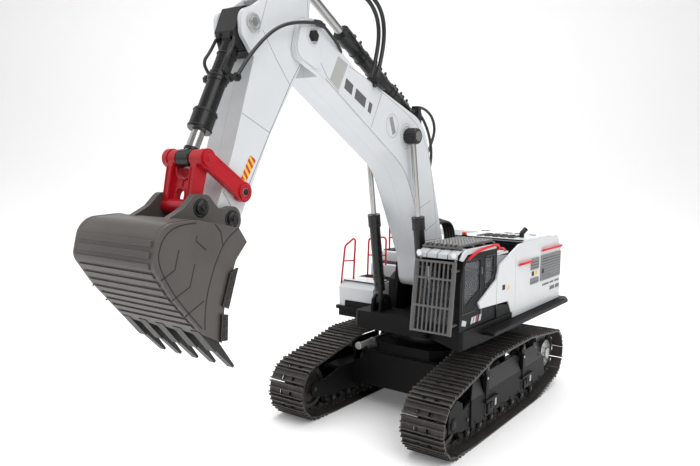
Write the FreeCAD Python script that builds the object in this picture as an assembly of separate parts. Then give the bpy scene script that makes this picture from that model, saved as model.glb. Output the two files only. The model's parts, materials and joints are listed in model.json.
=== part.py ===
"""Tracked radio-controlled excavator, 1:14 class, as separate pieces on real joints (mm, +Z up).

X runs to the machine's left (the cab side), the front looks along -Y and the tracks stand on z = 0.
Every piece is drawn about the machine's own zero, just ahead of the slewing axis, and moved along Y
at export so that the origin lies under the middle of the whole machine's box.
"""
import FreeCAD
import Part
import math
import os
from FreeCAD import Vector

# ---- fits and walls ----
RUNNING = 0.06          # radial clearance of a pin that turns in its bore
GAP = 0.4               # air between faces that pass one another
SHEET = 1.6             # thickness of pressed covers
CAST = 2.4              # wall of the cast boom and arm halves
SHIFT_Y = 99.385        # puts the middle of the machine's box on y = 0

# ---- undercarriage ----
TRACK_X = 73.6          # middle of one track
SHOE_WIDTH = 40.7
SHOE_THICK = 1.6
GROUSER = 2.0           # height of the three bars on a shoe
GROUSER_THICK = 1.0
LINK_HEIGHT = 4.6       # chain link under the shoe
LINK_X = (5.0, 8.2)     # one rail of links, from the middle of the track
SHOE_COUNT = 52
TRACK_LINE = SHOE_THICK + GROUSER          # the shoe's inner face above its tread
IDLER = (-111.6, 30.7, 24.8)               # y, z and radius of the line of the shoes' inner faces
SPROCKET = (123.0, 40.2, 24.6)
CARRIERS = ((-38.0, 61.0), (50.0, 61.6))   # y, z of the two top rollers
CARRIER_LINE = 11.0                        # radius of the shoe line round a top roller
CARRIER_R = CARRIER_LINE - LINK_HEIGHT - 0.3
ROLLER_R = 6.0
ROLLER_LINE = ROLLER_R + LINK_HEIGHT + 0.3
ROLLER_Z = TRACK_LINE + ROLLER_LINE
END_LIFT = 0.25         # the first and last bottom rollers stand a little higher
ROLLERS = [(-82.0, ROLLER_Z + END_LIFT)] + [(y, ROLLER_Z) for y in (-57.0, -32.0, -7.0, 18.0, 43.0)]
ROLLERS += [(68.0, ROLLER_Z + END_LIFT)]
FRAME_X = (TRACK_X - 15.0, TRACK_X + 14.5)   # outsides of one track frame
FRAME_WALL = 2.2
AXLE_R = 2.0
SLEW_Y = 6.0            # the slewing axis
SLEW_R = 36.0
SLEW_BORE = 24.0
STAND_HOLE_R = 1.6      # four blind holes under the car body for a stand

# ---- upper structure ----
BODY_X = 82.0
DECK_Z = (86.0, 103.0)  # platform
FENDER_X = 93.5
LIP_Z = 96.6            # top of the side walkways, below the covers
BOX_X = 90.0            # outer side of the front right step box
REAR_Y = 168.0
CAB_X = (36.0, 80.0)
CAB_FRONT, CAB_REAR = -88.0, -12.0
CAB_Z = (103.4, 171.0)
HOOD_Z = 172.0
HOOD_FRONT = 52.0

# ---- front: pivots as (y, z) ----
BOOM_FOOT = (-12.0, 140.0)
BOOM_TIP = (-216.7, 340.4)
BOOM_HALF = 18.0
LIFT_BASE = (-52.0, 113.0)
LIFT_EYE = (-80.0, 273.5)
LIFT_X = 24.6
ARM_HALF = 13.0
ARM_CYL_BASE = (-48.0, 295.5)
ARM_CYL_EYE = (-223.0, 390.5)
BUCKET_CYL_TOP = (-273.5, 341.0)
ROCKER_PIN = (-286.2, 227.5)
LINK_TOP = (-318.0, 249.0)
LINK_FOOT = (-324.5, 218.5)
BUCKET_PIN = (-298.2, 210.2)
BUCKET_HALF = 38.0
FORK_IN = ARM_HALF + GAP

NODES = {}


# ---- helpers ----
def box(x, y, z):
    """A block from ranges along the three axes."""
    return Part.makeBox(x[1] - x[0], y[1] - y[0], z[1] - z[0], Vector(x[0], y[0], z[0]))


def bar_x(centre, radius, x):
    """A round bar along X about the point (y, z)."""
    return Part.makeCylinder(radius, x[1] - x[0], Vector(x[0], *centre), Vector(1, 0, 0))


def bar(start, end, radius):
    """A round bar from one point to another."""
    along = Vector(*end) - Vector(*start)
    return Part.makeCylinder(radius, along.Length, Vector(*start), along)


def post(x, y, radius, z):
    return Part.makeCylinder(radius, z[1] - z[0], Vector(x, y, z[0]))


def closed_wire(corners, place):
    """A closed outline: each corner is (u, v) or (u, v, radius of its round)."""
    trims = []
    count = len(corners)
    for i, corner in enumerate(corners):
        p = place(*corner[:2])
        radius = corner[2] if len(corner) > 2 else 0
        if not radius:
            trims.append((p, None, p))
            continue
        back = (place(*corners[i - 1][:2]) - p).normalize()
        ahead = (place(*corners[(i + 1) % count][:2]) - p).normalize()
        half = back.getAngle(ahead) / 2
        reach = radius / math.tan(half)
        centre = p + (back + ahead).normalize() * (radius / math.sin(half))
        crown = centre + (p - centre).normalize() * radius
        trims.append((p + back * reach, crown, p + ahead * reach))
    edges = []
    for i, (start, crown, end) in enumerate(trims):
        if crown:
            edges.append(Part.Arc(start, crown, end).toShape())
        following = trims[(i + 1) % count][0]
        if (following - end).Length > 1e-4:
            edges.append(Part.LineSegment(end, following).toShape())
    return Part.Wire(edges)


def slab_x(corners, x):
    """An outline in Y and Z, thick along X."""
    wire = closed_wire(corners, lambda u, v: Vector(x[0], u, v))
    return Part.Face(wire).extrude(Vector(x[1] - x[0], 0, 0))


def slab_y(corners, y):
    """An outline in X and Z, thick along Y."""
    wire = closed_wire(corners, lambda u, v: Vector(u, y[0], v))
    return Part.Face(wire).extrude(Vector(0, y[1] - y[0], 0))


def slab_z(corners, z):
    """An outline in X and Y, thick along Z."""
    wire = closed_wire(corners, lambda u, v: Vector(u, v, z[0]))
    return Part.Face(wire).extrude(Vector(0, 0, z[1] - z[0]))


def joined(*shapes):
    whole = shapes[0]
    for shape in shapes[1:]:
        whole = whole.fuse(shape)
    return whole.removeSplitter()


def less(shape, *tools):
    for tool in tools:
        shape = shape.cut(tool)
    return shape


def mirrored(shape):
    return shape.mirror(Vector(0, 0, 0), Vector(1, 0, 0))


def moved(shape, x=0.0, y=0.0, z=0.0):
    copy = shape.copy()
    copy.translate(Vector(x, y, z))
    return copy


def both_sides(shape):
    return [shape, mirrored(shape)]


def between(a, b, share):
    """The point (y, z) a share of the way from a to b."""
    return (a[0] + (b[0] - a[0]) * share, a[1] + (b[1] - a[1]) * share)


def beyond(a, b, distance):
    """The point (y, z) at a distance from a towards b."""
    return between(a, b, distance / math.dist(a, b))


def at(x, point):
    return (x, point[0], point[1])


def tube(route, radius, name):
    """A hose: straight runs joined by tangent arcs as large as the runs allow."""
    points = [Vector(*p) for p in route]
    edges = []
    last = points[0]
    tightest = None
    for before, here, after in zip(points, points[1:], points[2:]):
        back = (before - here).normalize()
        ahead = (after - here).normalize()
        half = back.getAngle(ahead) / 2
        reach = 0.45 * min((before - here).Length, (after - here).Length)
        bend = reach * math.tan(half)
        tightest = bend if tightest is None else min(tightest, bend)
        centre = here + (back + ahead).normalize() * (bend / math.sin(half))
        crown = centre + (here - centre).normalize() * bend
        start, end = here + back * reach, here + ahead * reach
        edges.append(Part.LineSegment(last, start).toShape())
        edges.append(Part.Arc(start, crown, end).toShape())
        last = end
    edges.append(Part.LineSegment(last, points[-1]).toShape())
    path = Part.Wire(edges)
    ring = Part.Wire(Part.makeCircle(radius, points[0], points[1] - points[0]))
    solid = path.makePipeShell([ring], True, False)
    ratio = solid.Volume / (math.pi * radius ** 2 * path.Length)
    print(f"{name}: length {path.Length:.1f}, tightest bend {tightest:.1f}, volume ratio {ratio:.4f}")
    return solid


def node(name, *shapes):
    """Keeps a named piece, or a group of separate solids, for export."""
    NODES[name] = shapes[0] if len(shapes) == 1 else Part.makeCompound(list(shapes))


def pair(name, shape):
    """The same piece on both sides of the machine, as two nodes."""
    node(name + "_left", shape)
    node(name + "_right", mirrored(shape))


# ---- tracks ----
def shoe_line():
    """The belt round its wheels: tangent lines and arcs through the shoes' inner faces."""
    wheels = [IDLER]
    wheels += [(y, z, CARRIER_LINE) for y, z in CARRIERS]
    wheels.append(SPROCKET)
    wheels += [(*ROLLERS[i], ROLLER_LINE) for i in (-1, -2, 1, 0)]
    tangents = []
    for (y0, z0, r0), (y1, z1, r1) in zip(wheels, wheels[1:] + wheels[:1]):
        span = math.hypot(y1 - y0, z1 - z0)
        lean = math.atan2(z1 - z0, y1 - y0) + math.acos((r0 - r1) / span)
        out = Vector(0, math.cos(lean), math.sin(lean))
        tangents.append((Vector(0, y0, z0) + out * r0, Vector(0, y1, z1) + out * r1, lean))
    edges = []
    for i, (start, end, lean) in enumerate(tangents):
        edges.append(Part.LineSegment(start, end).toShape())
        y, z, radius = wheels[(i + 1) % len(wheels)]
        following = tangents[(i + 1) % len(tangents)]
        turn = (lean - following[2]) % (2 * math.pi)
        middle = lean - turn / 2
        crown = Vector(0, y + radius * math.cos(middle), z + radius * math.sin(middle))
        edges.append(Part.Arc(end, crown, following[0]).toShape())
    return Part.Wire(edges)


def shoe(pitch):
    """One triple-bar shoe, tread down, its inner face on z = 0 and its middle at the origin."""
    long = pitch - 0.5
    half = SHOE_WIDTH / 2
    plate = box((-half, half), (-long / 2, long / 2), (-SHOE_THICK, 0))
    step = (long - GROUSER_THICK) / 2
    bars = [box((-half, half), (k * step - GROUSER_THICK / 2, k * step + GROUSER_THICK / 2),
                (-SHOE_THICK - GROUSER, -SHOE_THICK + 0.3)) for k in (-1, 0, 1)]
    slots = [box((k * 6.2 - 2.4, k * 6.2 + 2.4), (GROUSER_THICK / 2, step - GROUSER_THICK / 2),
                 (-SHOE_THICK - 1, 1)) for k in (-1, 1)]
    return less(joined(plate, *bars), *slots)


def chain_link(pitch):
    """The two rails of one chain link, standing on the shoe's inner face."""
    foot, waist, head = pitch / 2 - 0.5, pitch / 2 - 1.2, pitch / 2 - 2.8
    outline = [(-foot, 0.0), (foot, 0.0), (waist, LINK_HEIGHT * 0.6, 1.0), (head, LINK_HEIGHT, 1.0),
               (-head, LINK_HEIGHT, 1.0), (-waist, LINK_HEIGHT * 0.6, 1.0)]
    rail = slab_x(outline, LINK_X)
    return Part.makeCompound([rail, mirrored(rail)])


def belt(shape, line):
    """Copies of a shoe or a link set, end to end round the belt."""
    stops = line.discretize(Number=2 * SHOE_COUNT + 1)
    copies = []
    for i in range(SHOE_COUNT):
        start, middle, end = stops[2 * i:2 * i + 3]
        along = end - start
        copy = shape.copy()
        copy.rotate(Vector(0, 0, 0), Vector(1, 0, 0), math.degrees(math.atan2(along.z, along.y)) + 180)
        copy.translate(middle + Vector(TRACK_X, 0, 0))
        copies.append(copy)
    return copies


def toothed_wheel(centre, tip, root, teeth, thick):
    """A sprocket plate: straight-flanked teeth with rounded tips between root gaps."""
    step = 2 * math.pi / teeth
    corners = []
    for i in range(teeth):
        for radius, share in ((root, -0.34), (tip, -0.14), (tip, 0.14), (root, 0.34)):
            angle = (i + share) * step
            corners.append((centre[0] + radius * math.cos(angle),
                            centre[1] + radius * math.sin(angle), 0.5))
    return slab_x(corners, (TRACK_X - thick / 2, TRACK_X + thick / 2))


def wheel(centre, radius, half_width, groove=None):
    """A roller with two running faces and a waist between them."""
    body = bar_x(centre, radius, (TRACK_X - half_width, TRACK_X + half_width))
    if groove:
        ring = bar_x(centre, radius + 1, (TRACK_X - groove[0], TRACK_X + groove[0]))
        body = less(body, less(ring, bar_x(centre, groove[1], (TRACK_X - groove[0], TRACK_X + groove[0]))))
    return less(body, bar_x(centre, AXLE_R + RUNNING, (TRACK_X - half_width, TRACK_X + half_width)))


def tracks():
    line = shoe_line()
    pitch = line.Length / SHOE_COUNT
    print(f"track pitch {pitch:.2f}")
    links = [s for c in belt(chain_link(pitch), line) for s in c.Solids]
    pair("track_belt", Part.makeCompound(belt(shoe(pitch), line) + links))


def track_frame():
    """The box between the runs of a track: side plates, sloped cover, floor, posts and bearing blocks."""
    inner = (FRAME_X[0], FRAME_X[0] + FRAME_WALL)
    outer = (FRAME_X[1] - FRAME_WALL, FRAME_X[1])
    front = [(-117, 24, 5), (-90, 19), (-90, 37), (-117, 37, 5)]
    side = [(-96, 19), (92, 19), (100, 25), (96, 40), (88, 48), (76, 43, 6), (-74, 43, 6), (-96, 37)]
    drive = [(70, 19), (112, 24, 6), (136, 30, 8), (136, 52, 8), (110, 56, 6), (76, 43)]
    whole = joined(slab_x(side, inner), slab_x(side, outer), slab_x(drive, inner),
                   slab_x(front, inner), slab_x(front, outer))
    cover = slab_y([(inner[0], 40.4), (inner[0], 44), (TRACK_X + 3, 44), (outer[1], 33), (outer[1], 29),
                    (TRACK_X + 2, 40.4)], (-72, 76))
    floor = box((inner[0], outer[1]), (-84, 88), (22.4, 24.6))
    whole = joined(whole, cover, floor)
    for y, z in CARRIERS:
        for x in (TRACK_X - 12.4, TRACK_X + 9.4):
            post_line = [(y - 4, 41), (y + 4, 41), (y + 4, z + 4, 3.5), (y - 4, z + 4, 3.5)]
            whole = joined(whole, slab_x(post_line, (x, x + 3)))
    for y, z in ROLLERS:
        for x in (inner, outer):
            post_line = [(y - 4, z - 4, 3.5), (y + 4, z - 4, 3.5), (y + 4, 20), (y - 4, 20)]
            whole = joined(whole, slab_x(post_line, x))
    bores = [bar_x(IDLER[:2], AXLE_R, FRAME_X), bar_x(SPROCKET[:2], AXLE_R + RUNNING, FRAME_X)]
    bores += [bar_x(c, AXLE_R, FRAME_X) for c in (*ROLLERS, *CARRIERS)]
    return less(whole, *bores)


def side_lugs():
    """Bright plates and bolts on the outer side of a track frame."""
    x = (FRAME_X[1], FRAME_X[1] + 1.0)
    plates = [slab_x([(y, 22), (y + 20, 22), (y + 20, 29)], x) for y in (-40, 74)]
    heads = [bar_x((y, 27), 1.6, x) for y in (-84, -60, 0, 24, 48)]
    return plates + heads


def undercarriage():
    axle_ends = (FRAME_X[0], FRAME_X[1] + 0.8)
    axles = [bar_x(IDLER[:2], AXLE_R, axle_ends)]
    axles += [bar_x(c, AXLE_R, axle_ends) for c in ROLLERS]
    axles += [bar_x(c, AXLE_R, (TRACK_X - 13, TRACK_X + 13)) for c in CARRIERS]
    rail = LINK_X[1] + 0.4
    rollers = [wheel(c, ROLLER_R, rail, (3.6, 4.4)) for c in ROLLERS]
    idler = joined(wheel(IDLER[:2], IDLER[2] - LINK_HEIGHT - 0.4, rail),
                   less(bar_x(IDLER[:2], IDLER[2] - 1.2, (TRACK_X - 3.6, TRACK_X + 3.6)),
                        bar_x(IDLER[:2], AXLE_R + RUNNING, (0, 2 * TRACK_X))))
    for side in (-1, 1):
        dish = less(bar_x(IDLER[:2], 15.5, (0, 2.4)), bar_x(IDLER[:2], 6, (0, 2.4)))
        idler = less(idler, moved(dish, TRACK_X + side * (rail - 1.2) - 1.2))
    sprocket = joined(toothed_wheel(SPROCKET[:2], SPROCKET[2] - 0.8, 18.6, 15, 6.4),
                      bar_x(SPROCKET[:2], 14.6, (TRACK_X - 7, TRACK_X + 9.6)),
                      bar_x(SPROCKET[:2], 6.0, (TRACK_X - 7, TRACK_X + 12)),
                      bar_x(SPROCKET[:2], AXLE_R, (FRAME_X[0] - 12, TRACK_X)))
    bolts = [bar_x((SPROCKET[0] + 10.4 * math.cos(a), SPROCKET[1] + 10.4 * math.sin(a)), 1.3,
                   (TRACK_X + 9.6, TRACK_X + 10.6)) for a in [math.radians(45 * k) for k in range(8)]]
    motor = joined(bar_x(SPROCKET[:2], 12.5, (FRAME_X[0] - 9, FRAME_X[0])),
                   bar_x(SPROCKET[:2], 9.0, (FRAME_X[0] - 18, FRAME_X[0] - 9)))
    motor = less(motor, bar_x(SPROCKET[:2], AXLE_R + RUNNING, (FRAME_X[0] - 14, FRAME_X[0])))
    pair("track_frame", track_frame())
    node("track_rollers", *[s for r in rollers for s in both_sides(r)])
    node("track_axles", *[s for a in axles + side_lugs() for s in both_sides(a)])
    pair("idler", idler)
    pair("sprocket", joined(sprocket, *bolts))
    for name, centre in zip(("front", "rear"), CARRIERS):
        pair(f"carrier_roller_{name}", wheel(centre, CARRIER_R, rail, (3.6, 4.6)))
    node("drive_motors", *both_sides(motor))
    car_body()


def car_body():
    """The X-shaped middle: a drum under the slew ring and four legs out to the track frames."""
    drum = slab_z([(-36, -36, 10), (36, -36, 10), (36, 48, 10), (-36, 48, 10)], (20, 62))
    neck = less(post(0, SLEW_Y, 40, (60, 70)), post(0, SLEW_Y, SLEW_BORE + GAP, (62, 70)))
    whole = joined(drum, neck)
    for low, high in ((-58, -14), (26, 70)):
        leg = slab_y([(FRAME_X[0], 22), (FRAME_X[0], 43), (40, 58), (-40, 58), (-FRAME_X[0], 43),
                      (-FRAME_X[0], 22), (-40, 24), (40, 24)], (low + 8, high - 8))
        whole = joined(whole, leg)
    holes = [post(x, SLEW_Y + y, STAND_HOLE_R, (20, 32)) for x in (-33, 33) for y in (-20, 20)]
    node("car_body", less(whole, *holes))
    ring = less(post(0, SLEW_Y, SLEW_R, (70, DECK_Z[0] - GAP)), post(0, SLEW_Y, SLEW_BORE, (70, DECK_Z[0])))
    node("slew_ring_lower", ring)


# ---- upper structure ----
def platform():
    """The black deck: a tray with side fenders, boom brackets and cylinder brackets at the front."""
    plan = [(-46, -66, 4), (34, -66, 4), (36, -60), (BODY_X - 2, -88, 5), (BODY_X, -40),
            (BODY_X, REAR_Y, 8),
            (-BODY_X, REAR_Y, 8), (-BODY_X, -34), (-46, -34)]
    deck = slab_z(plan, DECK_Z)
    lip = [(-FENDER_X, -36, 2), (-46, -36), (-46, 0), (46, 0), (46, -44), (FENDER_X, -44, 2),
           (FENDER_X, 162), (FENDER_X - 8, REAR_Y + 10, 3),
           (8 - FENDER_X, REAR_Y + 10, 3), (-FENDER_X, 162)]
    fender = slab_z(lip, (LIP_Z - 3.2, LIP_Z))
    whole = joined(deck, fender, box((-BOX_X, -BODY_X), (-34, 18), (DECK_Z[0], LIP_Z - 3.2)))
    tray = slab_z([(74, 62, 4), (74, 160, 4), (-74, 160, 4), (-74, 62, 4)], (DECK_Z[0] + 2.4, 110))
    whole = less(whole, tray, post(0, SLEW_Y, 16, (80, 110)))
    feet = [post(x, y, 2.4, (DECK_Z[0] + 1, 106)) for x in (10, 62) for y in (70, 120)]
    feet += [post(x, y, 2.4, (DECK_Z[0] + 1, 106)) for x in (-66, -10) for y in (78, 122)]
    whole = joined(whole, *feet)
    for side in (-1, 1):
        cheek = slab_x([(-34, 100), (12, 100), (6, 148, 4), (-8, 154, 6), (-28, 150, 6)], (0, 4.0))
        cheek = moved(cheek, BOOM_HALF + GAP if side > 0 else -BOOM_HALF - GAP - 4.0)
        whole = joined(whole, cheek)
        for x in (LIFT_X - 5.6, LIFT_X + 3.4):
            ear_line = [(-62, 98), (-38, 98), (-42, 115, 3), (LIFT_BASE[0], 121, 5), (-60, 115, 3)]
            ear = slab_x(ear_line, (x, x + 2.2))
            whole = joined(whole, ear if side > 0 else mirrored(ear))
    whole = less(whole, bar_x(BOOM_FOOT, 4.0, (-60, 60)), bar_x(LIFT_BASE, 2.4, (-60, 60)))
    whole = less(whole, box((-BOOM_HALF - GAP, BOOM_HALF + GAP), (-44, 14), (100, 126)))
    node("platform", whole)


def slew_drive():
    ring = less(post(0, SLEW_Y, SLEW_BORE - RUNNING, (66, DECK_Z[0])), post(0, SLEW_Y, 14, (66, DECK_Z[0])))
    node("slew_ring_upper", ring)
    node("slew_motor", joined(post(0, 46, 11, (DECK_Z[1], 128)), post(0, 46, 4, (128, 132))))


def cab_side():
    """The cab's side outline, front to rear."""
    return [(CAB_FRONT, CAB_Z[0]), (CAB_FRONT, 146), (CAB_FRONT + 5, 164, 2), (CAB_FRONT + 14, CAB_Z[1], 5),
            (CAB_REAR, CAB_Z[1], 2), (CAB_REAR, CAB_Z[0])]


def windows():
    """Openings of the cab as (tool, pane) pairs: left front, left rear, right, front and rear."""
    wall = SHEET
    found = []
    front_light = [(-80, 124, 2), (-49, 136, 2), (-49, 163, 2), (-80, 163, 2)]
    rear_light = [(-39, 136, 2), (-18, 143, 2), (-18, 163, 2), (-39, 163, 2)]
    for outline in (front_light, rear_light):
        for edge in (CAB_X[1] - wall, CAB_X[0]):
            found.append((slab_x(outline, (edge - 1, edge + wall + 1)),
                          slab_x(outline, (edge + 0.4, edge + 1.2))))
    screen = [(41, 108, 2), (75, 108, 2), (75, 158, 2), (41, 158, 2)]
    found.append((slab_y(screen, (CAB_FRONT - 1, CAB_FRONT + 7)), None))
    pane = slab_y([(41, 108, 2), (75, 108, 2), (75, 145, 2), (41, 145, 2)],
                  (CAB_FRONT + 0.4, CAB_FRONT + 1.2))
    found[-1] = (found[-1][0], pane)
    back = [(41, 136, 2), (75, 136, 2), (75, 164, 2), (41, 164, 2)]
    found.append((slab_y(back, (CAB_REAR - 3, CAB_REAR + 1)),
                  slab_y(back, (CAB_REAR - 1.2, CAB_REAR - 0.4))))
    return found


def cab():
    shell = slab_x(cab_side(), CAB_X)
    hollow = [(CAB_FRONT + SHEET, CAB_Z[0] - 1), (CAB_FRONT + SHEET, 145.6), (CAB_FRONT + 6.4, 162.6, 1),
              (CAB_FRONT + 14.6, CAB_Z[1] - SHEET, 4), (CAB_REAR - SHEET, CAB_Z[1] - SHEET, 1),
              (CAB_REAR - SHEET, CAB_Z[0] - 1)]
    visor = slab_x([(-90, 166.4, 1), (-84, 165.4), (-78, 171.4), (-14, 171.4), (-14, 174.0, 1),
                    (-78, 174.4, 3), (-90, 170.4, 2)], (38.0, 78.0))
    shell = joined(shell, visor)
    shell = less(shell, slab_x(hollow, (CAB_X[0] + SHEET, CAB_X[1] - SHEET)), *[w[0] for w in windows()])
    node("cab_shell", shell)
    node("cab_windows", *[w[1] for w in windows()])
    seat = joined(slab_x([(-52, 112, 2), (-28, 110, 2), (-26, 122), (-22, 146, 3), (-28, 148, 3),
                          (-33, 122, 2), (-52, 121, 3)], (48, 68)),
                  box((52, 64), (-44, -30), (DECK_Z[1], 112)))
    console = slab_x([(-84, 104), (-74, 104), (-70, 124, 2), (-76, 130, 2), (-84, 122)], (46, 70))
    node("cab_interior", seat, console)
    lean = (-100.0, 103.0, -92.6, 164.0)
    guard_bars = []
    rows = 8
    for i in range(rows + 1):
        x = 41.2 + i * (75.0 - 41.2) / rows
        guard_bars.append(bar((x, lean[0], lean[1]), (x, lean[2], lean[3]), 0.8))
    rails = []
    for share in (0.0, 0.36, 0.76, 1.0):
        y = lean[0] + (lean[2] - lean[0]) * share
        z = lean[1] + (lean[3] - lean[1]) * share
        rails.append(bar((40.2, y, z), (76.0, y, z), 1.0))
    frame = [bar((x, lean[0], lean[1] - 1), (x, lean[2], lean[3] + 1), 1.5) for x in (39.0, 77.0)]
    stays = [bar((x, y, z), (x, CAB_FRONT + back, z), 1.0)
             for x in (39.0, 77.0) for y, z, back in ((-99.0, 110.0, 0.0), (-93.4, 157.0, 2.9))]
    guard = joined(*guard_bars, *rails, *frame, *stays)
    node("cab_front_guard", less(guard, slab_x(cab_side(), CAB_X)))
    slats = [box((40.5 + i * 4.6, 42.7 + i * 4.6), (-82, -12), (176.2, 178.4)) for i in range(8)]
    cross = [box((38.5, 77.5), (y, y + 3), (174.9, 176.4)) for y in (-82, -60, -38, -15)]
    feet = [box((x, x + 3), (y, y + 3), (174.0, 175.2)) for x in (40, 73) for y in (-60, -38)]
    guard = joined(*slats, *cross, *feet)
    node("cab_roof_guard", less(guard, visor))
    lamp = bar((40.5, -91.5, 168.6), (40.5, -90.0, 168.6), 2.4)
    beacon = joined(post(12, 56, 2.6, (HOOD_Z, HOOD_Z + 1)), post(12, 56, 2.1, (HOOD_Z + 1, HOOD_Z + 5)))
    node("lamps", lamp, moved(lamp, 35.0), beacon)


def body_covers():
    """White covers: the left side with its long wedge, the hood, the stepped right side and the rear."""
    top = DECK_Z[1] + GAP / 4
    side = [(21.5, top), (REAR_Y - 4, top), (REAR_Y - 4, 156, 4), (152, HOOD_Z - 1, 6), (66, HOOD_Z - 1, 8),
            (39, 170), (-9.5, 154, 4), (-15.4, 141.5), (-54.5, 124.5, 1), (-50.5, 118.7, 1), (13, 116)]
    wall = slab_x(side, (BODY_X - SHEET, BODY_X))
    rim = [(39, 170), (-9.5, 154, 4), (-15.4, 141.5), (-11, 140), (-5.5, 150, 4), (41, 166)]
    wall = joined(wall, slab_x(rim, (BODY_X - SHEET - 0.3, BODY_X)))
    hood = slab_x([(HOOD_FRONT, 150), (REAR_Y - 34, 150), (REAR_Y - 34, HOOD_Z), (HOOD_FRONT, HOOD_Z, 2)],
                  (2, BODY_X - SHEET))
    hood = less(hood, slab_x([(HOOD_FRONT + SHEET, 149), (REAR_Y - 34 - SHEET, 149),
                              (REAR_Y - 34 - SHEET, HOOD_Z - SHEET), (HOOD_FRONT + SHEET, HOOD_Z - SHEET)],
                             (2 + SHEET, BODY_X - 2 * SHEET)))
    node("left_side_cover", wall)
    node("engine_hood", hood)
    deck = joined(box((23, BODY_X - SHEET - 0.4), (-8, HOOD_FRONT - 0.4), (146, 148.4)),
                  box((-14, 24), (12, HOOD_FRONT - 0.4), (146, 148.4)))
    node("hood_deck", deck,
         box((2, BODY_X - SHEET - 0.4), (HOOD_FRONT - 2.4, HOOD_FRONT - 0.4), (148.4, 168)))
    right = [(-33, top), (18, top), (18, 123, 2), (-29, 123, 3), (-34, 117, 2)]
    skirt = slab_x([(-33, LIP_Z + GAP / 4), (18, LIP_Z + GAP / 4), (18, top + 6), (-33, top + 6)],
                   (-BOX_X, -BODY_X - GAP / 2))
    steps = [joined(slab_x(right, (-BOX_X, -46)), skirt),
             slab_x([(18, top), (38, top), (38, 138, 2), (18, 138, 2)], (-84, -30)),
             slab_x([(38, top), (64, top), (64, 150, 2), (38, 150, 2)], (-84, -30)),
             slab_x([(64, top), (REAR_Y - 34, top), (REAR_Y - 34, 164, 3), (64, 164, 3)], (-BODY_X, -2))]
    hollow = [box((-88.4, -47.6), (-31, 19.6), (100, 115)), box((-82.4, -31.6), (19.6, 62.4), (100, 136.4)),
              box((-80.4, -4), (65.6, REAR_Y - 36), (100, 162)),
              box((-82.4, -31.6), (39.6, 62.4), (130, 148.4))]
    node("right_side_cover", less(joined(*steps), *hollow))
    treads = [box((-88, -48), (-28, 16), (123.0, 124.0)), box((-82, -32), (20, 36), (138.0, 139.0)),
              box((-82, -32), (40, 62), (150.0, 151.0))]
    ribs = [box((-87, -49), (y, y + 1.2), (124.0, 124.6)) for y in range(-26, 15, 4)]
    treads[0] = joined(treads[0], *ribs)
    plan = [(-BODY_X + SHEET, 134.4), (BODY_X - SHEET - 0.2, 134.4), (BODY_X - SHEET - 0.2, REAR_Y - 4),
            (70, REAR_Y + 1, 8), (-70, REAR_Y + 1, 8), (-BODY_X + SHEET, REAR_Y - 5)]
    weight = slab_z(plan, (top, HOOD_Z - 2))
    slope = slab_x([(150, HOOD_Z), (REAR_Y + 2, HOOD_Z), (REAR_Y + 2, 154)], (-100, 100))
    node("counterweight", less(weight, slope, box((-42.5, -29.5), (165, 172), (109, 115))))
    louvres = []
    for low, high, floor, ceiling in ((101, 161, 125, 151), (72.5, 92, 139.5, 151), (72.5, 92, 124.5, 130)):
        panel = box((BODY_X, BODY_X + 0.5), (low, high), (floor, ceiling))
        slats = [box((BODY_X + 0.5, BODY_X + 1.0), (low + 1, high - 1), (z, z + 1.0))
                 for z in [floor + 1.5 + 3 * k for k in range(int((ceiling - floor - 2) / 3))]]
        louvres.append(joined(panel, *slats))
    grid = [box((20 + 9 * i, 26 + 9 * i), (70, 100), (HOOD_Z, HOOD_Z + 0.8)) for i in range(5)]
    node("vents_and_treads", *louvres, *grid, *treads)


def rails():
    """Red hand hoops on the right steps, bars on the left cover and along the cab roof."""
    hoops = []
    places = ((-88.2, -31, 120.5, 170, 14), (-81, 5, 123, 168, 12), (-81, 50, 150, 183, 12))
    for x, y, foot, head, span in places:
        route = [(x, y, foot), (x + 2, y, head - 8), (x + 8, y, head),
                 (x + span, y, head - 2), (x + span, y, foot)]
        mid = foot + 0.42 * (head - foot)
        cross = bar((x + 1.2, y, mid), (x + span, y, mid + 2), 0.7)
        hoops.append((route, cross))
    shapes = []
    for i, (route, cross) in enumerate(hoops):
        shapes.append(joined(tube(route, 1.0, f"hand hoop {i + 1}"), cross))
    lift = 0.001
    covers = less(Part.makeCompound(shapes), NODES["right_side_cover"], NODES["vents_and_treads"])
    grips = []
    for low, high, z in ((101, 163, 158.5), (36, 71, 150)):
        run = [(BODY_X + lift, low, z - 1), (BODY_X + 3, low + 3, z),
               (BODY_X + 3, high - 3, z), (BODY_X + lift, high, z - 1)]
        grips.append(less(tube(run, 1.3, "cover grip"), box((0, BODY_X), (0, 200), (100, 200))))
    roof_run = [(76.0, -72, 172), (79.4, -68, 173), (79.4, -56, 176.5), (79.4, -18, 177.5), (76.0, -12, 176)]
    grips.append(less(tube(roof_run, 1.2, "cab grip"), NODES["cab_roof_guard"], NODES["cab_shell"]))
    node("handrails", *covers.Solids, *[s for g in grips for s in g.Solids])


def fittings():
    pipe = joined(post(66, 84, 2.6, (HOOD_Z, HOOD_Z + 5)),
                  bar((66, 84, HOOD_Z + 4.6), (69, 88, HOOD_Z + 9.5), 2.6))
    node("exhaust_pipe", less(pipe, bar((67.2, 85.6, HOOD_Z + 6.6), (70.5, 90, HOOD_Z + 12), 1.7)))
    node("battery_pack", box((-70, -6), (72, 128), (106, 132)))
    board = joined(box((6, 66), (66, 124), (106, 107.6)),
                   *[box((12 + 18 * i, 22 + 18 * i), (76, 90), (107.6, 112)) for i in range(3)])
    node("receiver_board", board)
    node("power_switch", joined(box((-42.0, -35.0), (165.4, 168.6), (109.4, 114.6)),
                                box((-40.0, -37.0), (168.6, 172.6), (110.6, 113.4))))


HOSE_R = 1.6


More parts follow.
